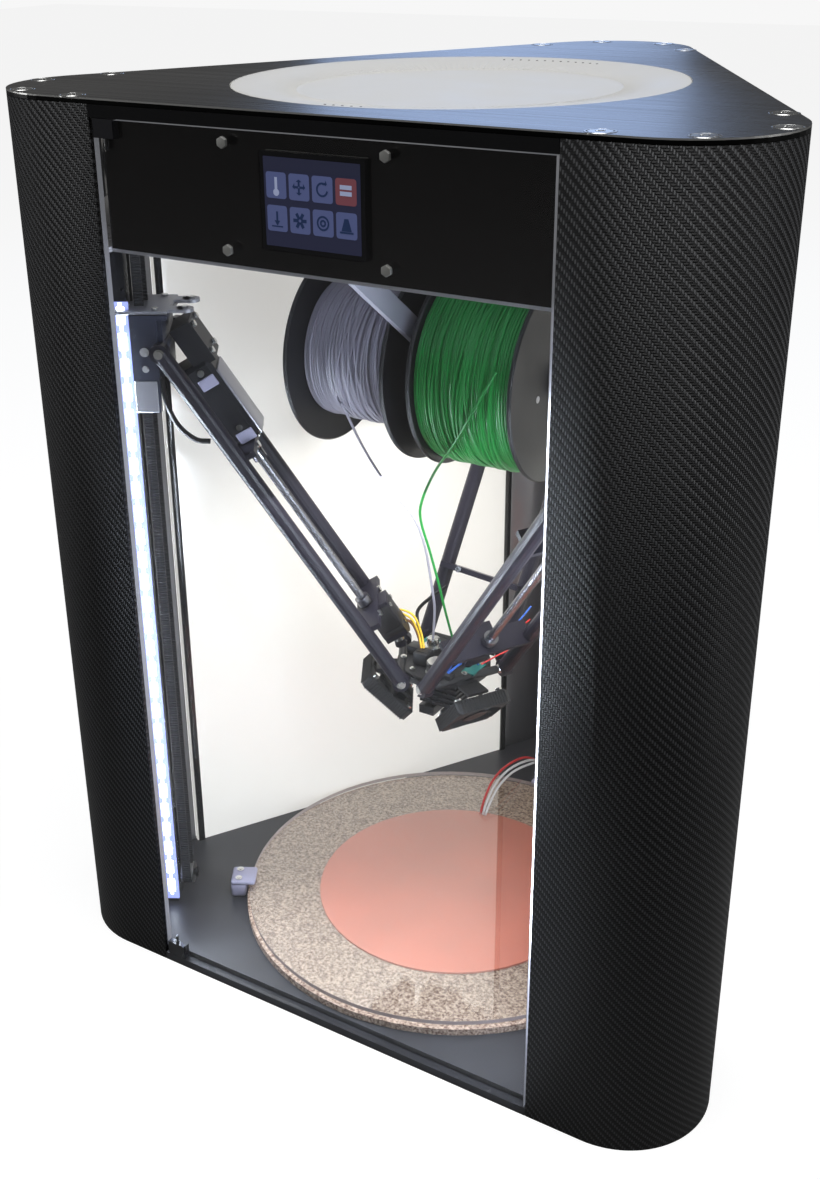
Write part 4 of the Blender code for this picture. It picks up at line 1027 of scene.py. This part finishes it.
tube_black = worn("tube_black", (0.013, 0.012, 0.020), 0.38, grain=500.0, depth=0.000004, Specular_IOR_Level=0.35)
moulded_black = worn("moulded_black", (0.018, 0.018, 0.02), 0.45, grain=1200.0, depth=0.00006)
chrome = worn("chrome", (0.34, 0.34, 0.37), 0.25, 1.0, 900.0)
for name in TOWERS:
    give("arm_" + name, tube_black)
    shape = bmesh.new()
    for end in arm_ends(name):
        for side in (-1, 1):
            joint = turn_z(TOWERS[name]) @ (end + Vector((0, side * ARM_SPREAD / 2, 0)))
            out = turn_z(TOWERS[name]).to_3x3() @ Vector((0, side, 0))
            start = joint + out * (KNUCKLE_WIDTH / 2 + 0.0002)
            add_rod(shape, start, start + out * 0.0008, 0.0034, 20)
            add_rod(shape, start, start + out * 0.0022, 0.0026, 20)
            inner = joint - out * (KNUCKLE_WIDTH / 2 + 0.0002)
            add_rod(shape, inner, inner - out * 0.0026, 0.0036, 20, 0.0026)
    piece("arm_screws_" + name, shape, [steel], "print_head")
    place = arm_place(name)
    shape = bmesh.new()
    for start in (0.0836, 0.2362):
        for side in (-1, 1):
            spot = Vector((start + 0.002, side * 0.0165, 0.0115))
            add_rod(shape, place @ spot, place @ (spot + Vector((0, 0, 0.0018))), 0.0024, 18)
    piece("brace_screws_" + name, shape, [steel], "print_head")


# ---------------------------------------------------------------------------
# Filament drives. A small square motor with pale end bells sits at the top of
# each front arm and turns a long steel shaft that drives the gearbox below it.
bell_grey = worn("bell_grey", (0.45, 0.45, 0.50), 0.35, 0.7, 500.0)
for name in ("left", "right"):
    give("extruder_motor_" + name, motor_black)
    give("drive_shaft_" + name, chrome)
    place = arm_place(name)
    shape = bmesh.new()
    add_box(shape, (0.0300, -0.0118, 0.0166), (0.0818, 0.0118, 0.0182), place, 0.0012, 2)
    piece("motor_lid_" + name, shape, [bell_grey], "print_head")
    shape = bmesh.new()
    for start in (0.0300, 0.0735):
        for side in (-1, 1):
            ends = sorted((side * 0.0138, side * 0.0150))
            add_box(shape, (start, ends[0], 0.0025), (start + 0.0080, ends[1], 0.0145), place, 0.0005, 1)
    piece("motor_plates_" + name, shape, [clip_lilac], "print_head")
    shape = bmesh.new()
    for x in (0.0262, 0.0700):
        for side in (-1, 1):
            add_rod(shape, place @ Vector((x, side * 0.0138, 0.008)), place @ Vector((x, side * 0.0156, 0.008)), 0.0022, 18)
    for x, y in ((-0.002, -0.0075), (-0.002, 0.0075), (0.0185, -0.0075), (0.0185, 0.0075)):
        add_rod(shape, place @ Vector((x, y, 0.0212)), place @ Vector((x, y, 0.0228)), 0.0021, 18)
    for y in (-0.0115, 0.0115):
        for z in (-0.0085, 0.0145):
            add_rod(shape, place @ Vector((0.0814, y, z)), place @ Vector((0.0828, y, z)), 0.0017, 14)
    piece("motor_screws_" + name, shape, [steel], "print_head")
    shape = bmesh.new()
    for start, reach in ((0.0835, 0.0055), (0.0905, 0.0048), (0.2240, 0.0052)):
        add_rod(shape, place @ Vector((start + 0.0045, 0, 0.003)), place @ Vector((start + 0.0105, 0, 0.003)), reach, 24)
    piece("shaft_couplings_" + name, shape, [chrome], "drive_shaft_" + name)
    shape = bmesh.new()
    add_box(shape, (0.2385, -0.0092, 0.0005), (0.2610, 0.0092, 0.0188), place, 0.0030, 3)
    add_rod(shape, place @ Vector((0.2610, 0, 0.0010)), place @ Vector((0.2610, 0, 0.0184)), 0.0091, 32)
    piece("gearbox_cover_" + name, shape, [moulded_black], "print_head")
    shape = bmesh.new()
    for x, y in ((0.2420, -0.0055), (0.2420, 0.0055), (0.2620, 0.0)):
        add_rod(shape, place @ Vector((x, y, 0.0182)), place @ Vector((x, y, 0.0196)), 0.0017, 18)
    add_rod(shape, place @ Vector((0.2655, 0, 0.0095)), place @ Vector((0.2725, 0, 0.0075)), 0.0045, 20)
    piece("gearbox_fittings_" + name, shape, [steel], "print_head")


# ---------------------------------------------------------------------------
# Carriages. Each is a black block on rollers round its tower, under a grey
# plate with a forked, rounded tip that holds the arm's pivot.
plate_grey = worn("plate_grey", (0.34, 0.34, 0.36), 0.4, 0.5, 700.0)
carriage_black = worn("carriage_black", (0.03, 0.035, 0.06), 0.35, grain=900.0, depth=0.00001)
for name in TOWERS:
    body = "carriage_" + name
    give(body, carriage_black)
    place = turn_z(TOWERS[name]) @ Matrix.Translation((0, 0, arm_ends(name)[0].z))
    shape = bmesh.new()
    top = 0.0212
    add_box(shape, (0.1800, -0.0225, top), (0.2215, 0.0225, top + 0.0022), place, 0.0006, 1)
    for side in (-1, 1):
        add_box(shape, (0.1700, side * 0.0125 - 0.0055, top), (0.1810, side * 0.0125 + 0.0055, top + 0.0022), place, 0.0006, 1)
        add_rod(shape, place @ Vector((0.1700, side * 0.0125, top)), place @ Vector((0.1700, side * 0.0125, top + 0.0022)), 0.0055, 28)
    piece("carriage_plate_" + name, shape, [plate_grey], body)
    shape = bmesh.new()
    for x, y in ((0.1700, -0.0125), (0.1700, 0.0125), (0.1880, -0.0180), (0.1880, 0.0180), (0.2140, -0.0190), (0.2140, 0.0190)):
        add_rod(shape, place @ Vector((x, y, top + 0.0020)), place @ Vector((x, y, top + 0.0036)), 0.0023, 18)
    for side in (-1, 1):
        add_rod(shape, place @ Vector((0.1955, side * 0.0230, -0.0020)), place @ Vector((0.1955, side * 0.0242, -0.0020)), 0.0030, 24)
        add_rod(shape, place @ Vector((0.1955, side * 0.0230, -0.0130)), place @ Vector((0.1955, side * 0.0242, -0.0130)), 0.0022, 24)
    piece("carriage_screws_" + name, shape, [steel], body)


for name, side in (("left", 1), ("right", -1)):
    place = turn_z(TOWERS[name]) @ Matrix.Translation((0, 0, arm_ends(name)[0].z))
    shape = bmesh.new()
    ends = sorted((side * 0.0231, side * 0.0239))
    add_box(shape, (0.1890, ends[0], -0.0415), (0.2035, ends[1], -0.0210), place, 0.0003, 1)
    piece("carriage_tongue_" + name, shape, [plate_grey], "carriage_" + name)
    route = ((0.188, 0.0140, -0.0120), (0.1865, 0.0155, -0.0330), (0.1800, 0.0165, -0.0510), (0.1690, 0.0160, -0.0620), (0.1590, 0.0150, -0.0640))
    wire("motor_lead_" + name, [place @ Vector((r, side * y, z)) for r, y, z in route], 0.0018, black_lead, "print_head")


# ---------------------------------------------------------------------------
# Print head. A round black plate carries two hot ends side by side, a small
# green board on top, plugs and coloured leads, and a fan on each front side.
board_green = worn("board_green", (0.01, 0.13, 0.12), 0.35, grain=700.0)
give("effector_plate", moulded_black)
fin_metal = worn("fin_metal", (0.10, 0.10, 0.11), 0.3, 0.9, 700.0)
give("hotend_pair", fin_metal)
here = Matrix.Translation(HEAD)


def at_head(*spot):
    return HEAD + Vector(spot)


shape = bmesh.new()
add_turned(shape, [(0.0, -0.0002), (0.0330, -0.0002), (0.0336, 0.0002), (0.0336, 0.0012), (0.0330, 0.0016), (0.0, 0.0016)], here, 64)
piece("head_cover", shape, [moulded_black], "print_head")
shape = bmesh.new()
add_box(shape, (0.0215, -0.0130, 0.0016), (0.0318, 0.0060, 0.0030), here, 0.0003, 1)
add_box(shape, (-0.0270, 0.0085, 0.0016), (-0.0150, 0.0215, 0.0030), here, 0.0003, 1)
piece("head_board", shape, [board_green], "print_head")
shape = bmesh.new()
for x in (-0.009, 0.009):
    add_turned(shape, [(0.0, 0.0162), (0.0040, 0.0162), (0.0046, 0.0156), (0.0046, 0.0110), (0.0066, 0.0106), (0.0070, 0.0100), (0.0070, 0.0068), (0.0, 0.0066)], here @ Matrix.Translation((x, 0, 0)), 32)
add_turned(shape, [(0.0, 0.0100), (0.0072, 0.0100), (0.0080, 0.0092), (0.0080, 0.0030), (0.0088, 0.0024), (0.0088, 0.0016), (0.0, 0.0016)], here @ Matrix.Translation((0.0060, -0.0195, 0)), 40)
for a in range(0, 360, 40):
    spot = Vector((0.0290 * math.cos(math.radians(a + 10)), 0.0290 * math.sin(math.radians(a + 10)), 0.0014))
    add_rod(shape, here @ spot, here @ (spot + Vector((0, 0, 0.0022))), 0.0022, 18)
    add_rod(shape, here @ spot, here @ (spot + Vector((0, 0, 0.0030))), 0.0013, 6)
piece("head_fittings", shape, [steel], "print_head")
shape = bmesh.new()
add_box(shape, (-0.0145, -0.0195, 0.0018), (-0.0035, -0.0085, 0.0115), here, 0.0008)
add_box(shape, (-0.0280, -0.0060, 0.0018), (-0.0170, 0.0040, 0.0075), here, 0.0008)
add_box(shape, (0.0040, 0.0125, 0.0018), (0.0150, 0.0215, 0.0080), here, 0.0008)
add_box(shape, (0.0185, 0.0085, 0.0018), (0.0275, 0.0165, 0.0065), here, 0.0008)
add_box(shape, (0.0135, -0.0290, 0.0018), (0.0215, -0.0215, 0.0060), here, 0.0008)
for y in (-0.0160, -0.0140, -0.0120):
    add_box(shape, (-0.0135, y - 0.0007, 0.0112), (-0.0045, y + 0.0007, 0.0122), here)
piece("head_plugs", shape, [moulded_black], "print_head")
shape = bmesh.new()
add_box(shape, (0.0335, 0.0262, 0.0135), (0.0425, 0.0312, 0.0172), here, 0.0008)
piece("head_plug_yellow", shape, [yellow_lead], "print_head")
shape = bmesh.new()
for i in range(7):
    z = -0.0300 + 0.0042 * i
    add_box(shape, (-0.0165, -0.0105, z), (0.0165, 0.0105, z + 0.0012), here, 0.0003, 1)
piece("hotend_fins", shape, [fin_metal], "print_head")
brass = worn("brass", (0.72, 0.50, 0.20), 0.25, 1.0, 500.0)
shape = bmesh.new()
for x in (-0.009, 0.009):
    add_rod(shape, at_head(x, 0, -0.0447), at_head(x, 0, -0.0418), 0.0008, 20, 0.0030)
    add_rod(shape, at_head(x, 0, -0.0418), at_head(x, 0, -0.0390), 0.0038, 6)
piece("nozzle_tips", shape, [brass], "print_head")

ARCH = ((-0.0427, -0.0017, 0.0300), (-0.0331, -0.0036, 0.0340), (-0.0228, -0.0041, 0.0320), (-0.0158, -0.0060, 0.0220), (-0.0100, -0.0110, 0.0120))
HEAD_LEADS = (
    ("yellow_1", yellow_lead, 0.0008, ARCH),
    ("yellow_2", yellow_lead, 0.0008, [(x - 0.0006, y - 0.0018, z - 0.0022) for x, y, z in ARCH]),
    ("brown_1", brown_lead, 0.0008, [(x + 0.0004, y - 0.0032, z - 0.0050) for x, y, z in ARCH]),
    ("brown_2", brown_lead, 0.0008, [(x + 0.0016, y - 0.0012, z - 0.0062) for x, y, z in ARCH]),
    ("black", black_lead, 0.0013, ((-0.0180, 0.0000, 0.0075), (-0.0235, 0.0028, 0.0230), (-0.0240, 0.0042, 0.0330), (-0.0149, 0.0065, 0.0440), (-0.0040, 0.0110, 0.0540))),
    ("yellow_3", yellow_lead, 0.0006, ((0.0255, 0.0021, 0.0030), (0.0228, 0.0085, 0.0150), (0.0270, 0.0175, 0.0195), (0.0350, 0.0275, 0.0160))),
    ("red_1", red_lead, 0.0006, ((0.0290, 0.0030, 0.0030), (0.0370, 0.0134, 0.0080), (0.0443, 0.0239, 0.0110), (0.0541, 0.0388, 0.0150))),
    ("red_2", red_lead, 0.0006, ((0.0240, 0.0120, 0.0065), (0.0310, 0.0180, 0.0125), (0.0400, 0.0270, 0.0190), (0.0500, 0.0370, 0.0300))),
    ("blue_1", blue_lead, 0.0008, ((0.0180, -0.0250, 0.0060), (0.0245, -0.0225, 0.0130), (0.0285, -0.0150, 0.0150), (0.0290, -0.0050, 0.0110), (0.0270, 0.0020, 0.0030))),
    ("blue_2", blue_lead, 0.0008, ((0.0165, -0.0240, 0.0060), (0.0215, -0.0205, 0.0160), (0.0250, -0.0130, 0.0170), (0.0255, -0.0040, 0.0120), (0.0245, 0.0015, 0.0030))),
    ("blue_3", blue_lead, 0.0006, ((0.0265, 0.0110, 0.0065), (0.0345, 0.0190, 0.0160), (0.0430, 0.0300, 0.0280), (0.0500, 0.0380, 0.0400))),
)
for name, made, radius, route in HEAD_LEADS:
    wire("head_lead_" + name, [at_head(*point) for point in route], radius, made, "print_head")


# ---------------------------------------------------------------------------
# Fans. A square black fan hangs under each front side of the head, turned out
# and down. Its moulded frame is ribbed on its edges.
fan_black = material("fan_black", (0.018, 0.018, 0.019), 0.6)
raise_by(fan_black, noise(fan_black, 900.0, 2.0), 0.0003, 0.7)
for name in ("left", "right"):
    give("fan_" + name, fan_black)
    give("fan_rotor_" + name, moulded_black)
    tilt = Matrix.Rotation(math.radians(135), 4, "Y")
    place = Matrix.Translation(HEAD + turn_z(TOWERS[name]) @ Vector((0.041, 0, -0.021))) @ turn_z(TOWERS[name]) @ tilt
    shape = bmesh.new()
    for x in (-0.0165, 0.0165):
        for y in (-0.0165, 0.0165):
            add_rod(shape, place @ Vector((x, y, -0.0056)), place @ Vector((x, y, -0.0070)), 0.0024, 18)
    piece("fan_screws_" + name, shape, [steel], "print_head")
    shape = bmesh.new()
    for i in range(-8, 9):
        for side in (-1, 1):
            ends = sorted((side * 0.0209, side * 0.0216))
            add_box(shape, (i * 0.0022 - 0.0004, ends[0], -0.0048), (i * 0.0022 + 0.0004, ends[1], 0.0048), place)
            add_box(shape, (ends[0], i * 0.0022 - 0.0004, -0.0048), (ends[1], i * 0.0022 + 0.0004, 0.0048), place)
    piece("fan_ribs_" + name, shape, [fan_black], "print_head")


# ---------------------------------------------------------------------------
# Electronics on the deck, behind the control panel: a boxed power supply whose lid
# holes are dark discs of painted shade, and a green control board with its chips and plugs.
supply_metal = worn("supply_metal", (0.55, 0.55, 0.56), 0.35, 0.9, 400.0)
give("power_supply", supply_metal)
give("controller_board", board_green)
low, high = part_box("power_supply")
shape = bmesh.new()
for i in range(16):
    for k in range(8):
        x = low.x + 0.012 + i * (high.x - low.x - 0.024) / 15
        y = low.y + 0.010 + k * (high.y - low.y - 0.020) / 7
        add_rod(shape, (x, y, high.z - 0.0001), (x, y, high.z + 0.00015), 0.0018, 6)
piece("supply_hole_shade", shape, [painted_hole_shade], "case")
low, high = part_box("controller_board")
shape = bmesh.new()
for i in range(5):
    x = low.x + 0.016 + i * 0.0215
    add_box(shape, (x, -0.080, high.z + 0.0001), (x + 0.009, -0.071, high.z + 0.0014), Matrix(), 0.0003, 1)
add_box(shape, (-0.012, -0.102, high.z + 0.0001), (0.006, -0.084, high.z + 0.0016), Matrix(), 0.0003, 1)
piece("board_chips", shape, [moulded_black], "case")
shape = bmesh.new()
for i in range(6):
    x = low.x + 0.008 + i * 0.018
    add_box(shape, (x, -0.0665, high.z + 0.0001), (x + 0.012, -0.0595, high.z + 0.0085), Matrix(), 0.0005, 1)
piece("board_plugs", shape, [white_lead], "case")

inlet_black = worn("inlet_black", (0.015, 0.015, 0.016), 0.4, grain=700.0)
give("power_inlet", inlet_black)
give("rocker_switch", inlet_black)
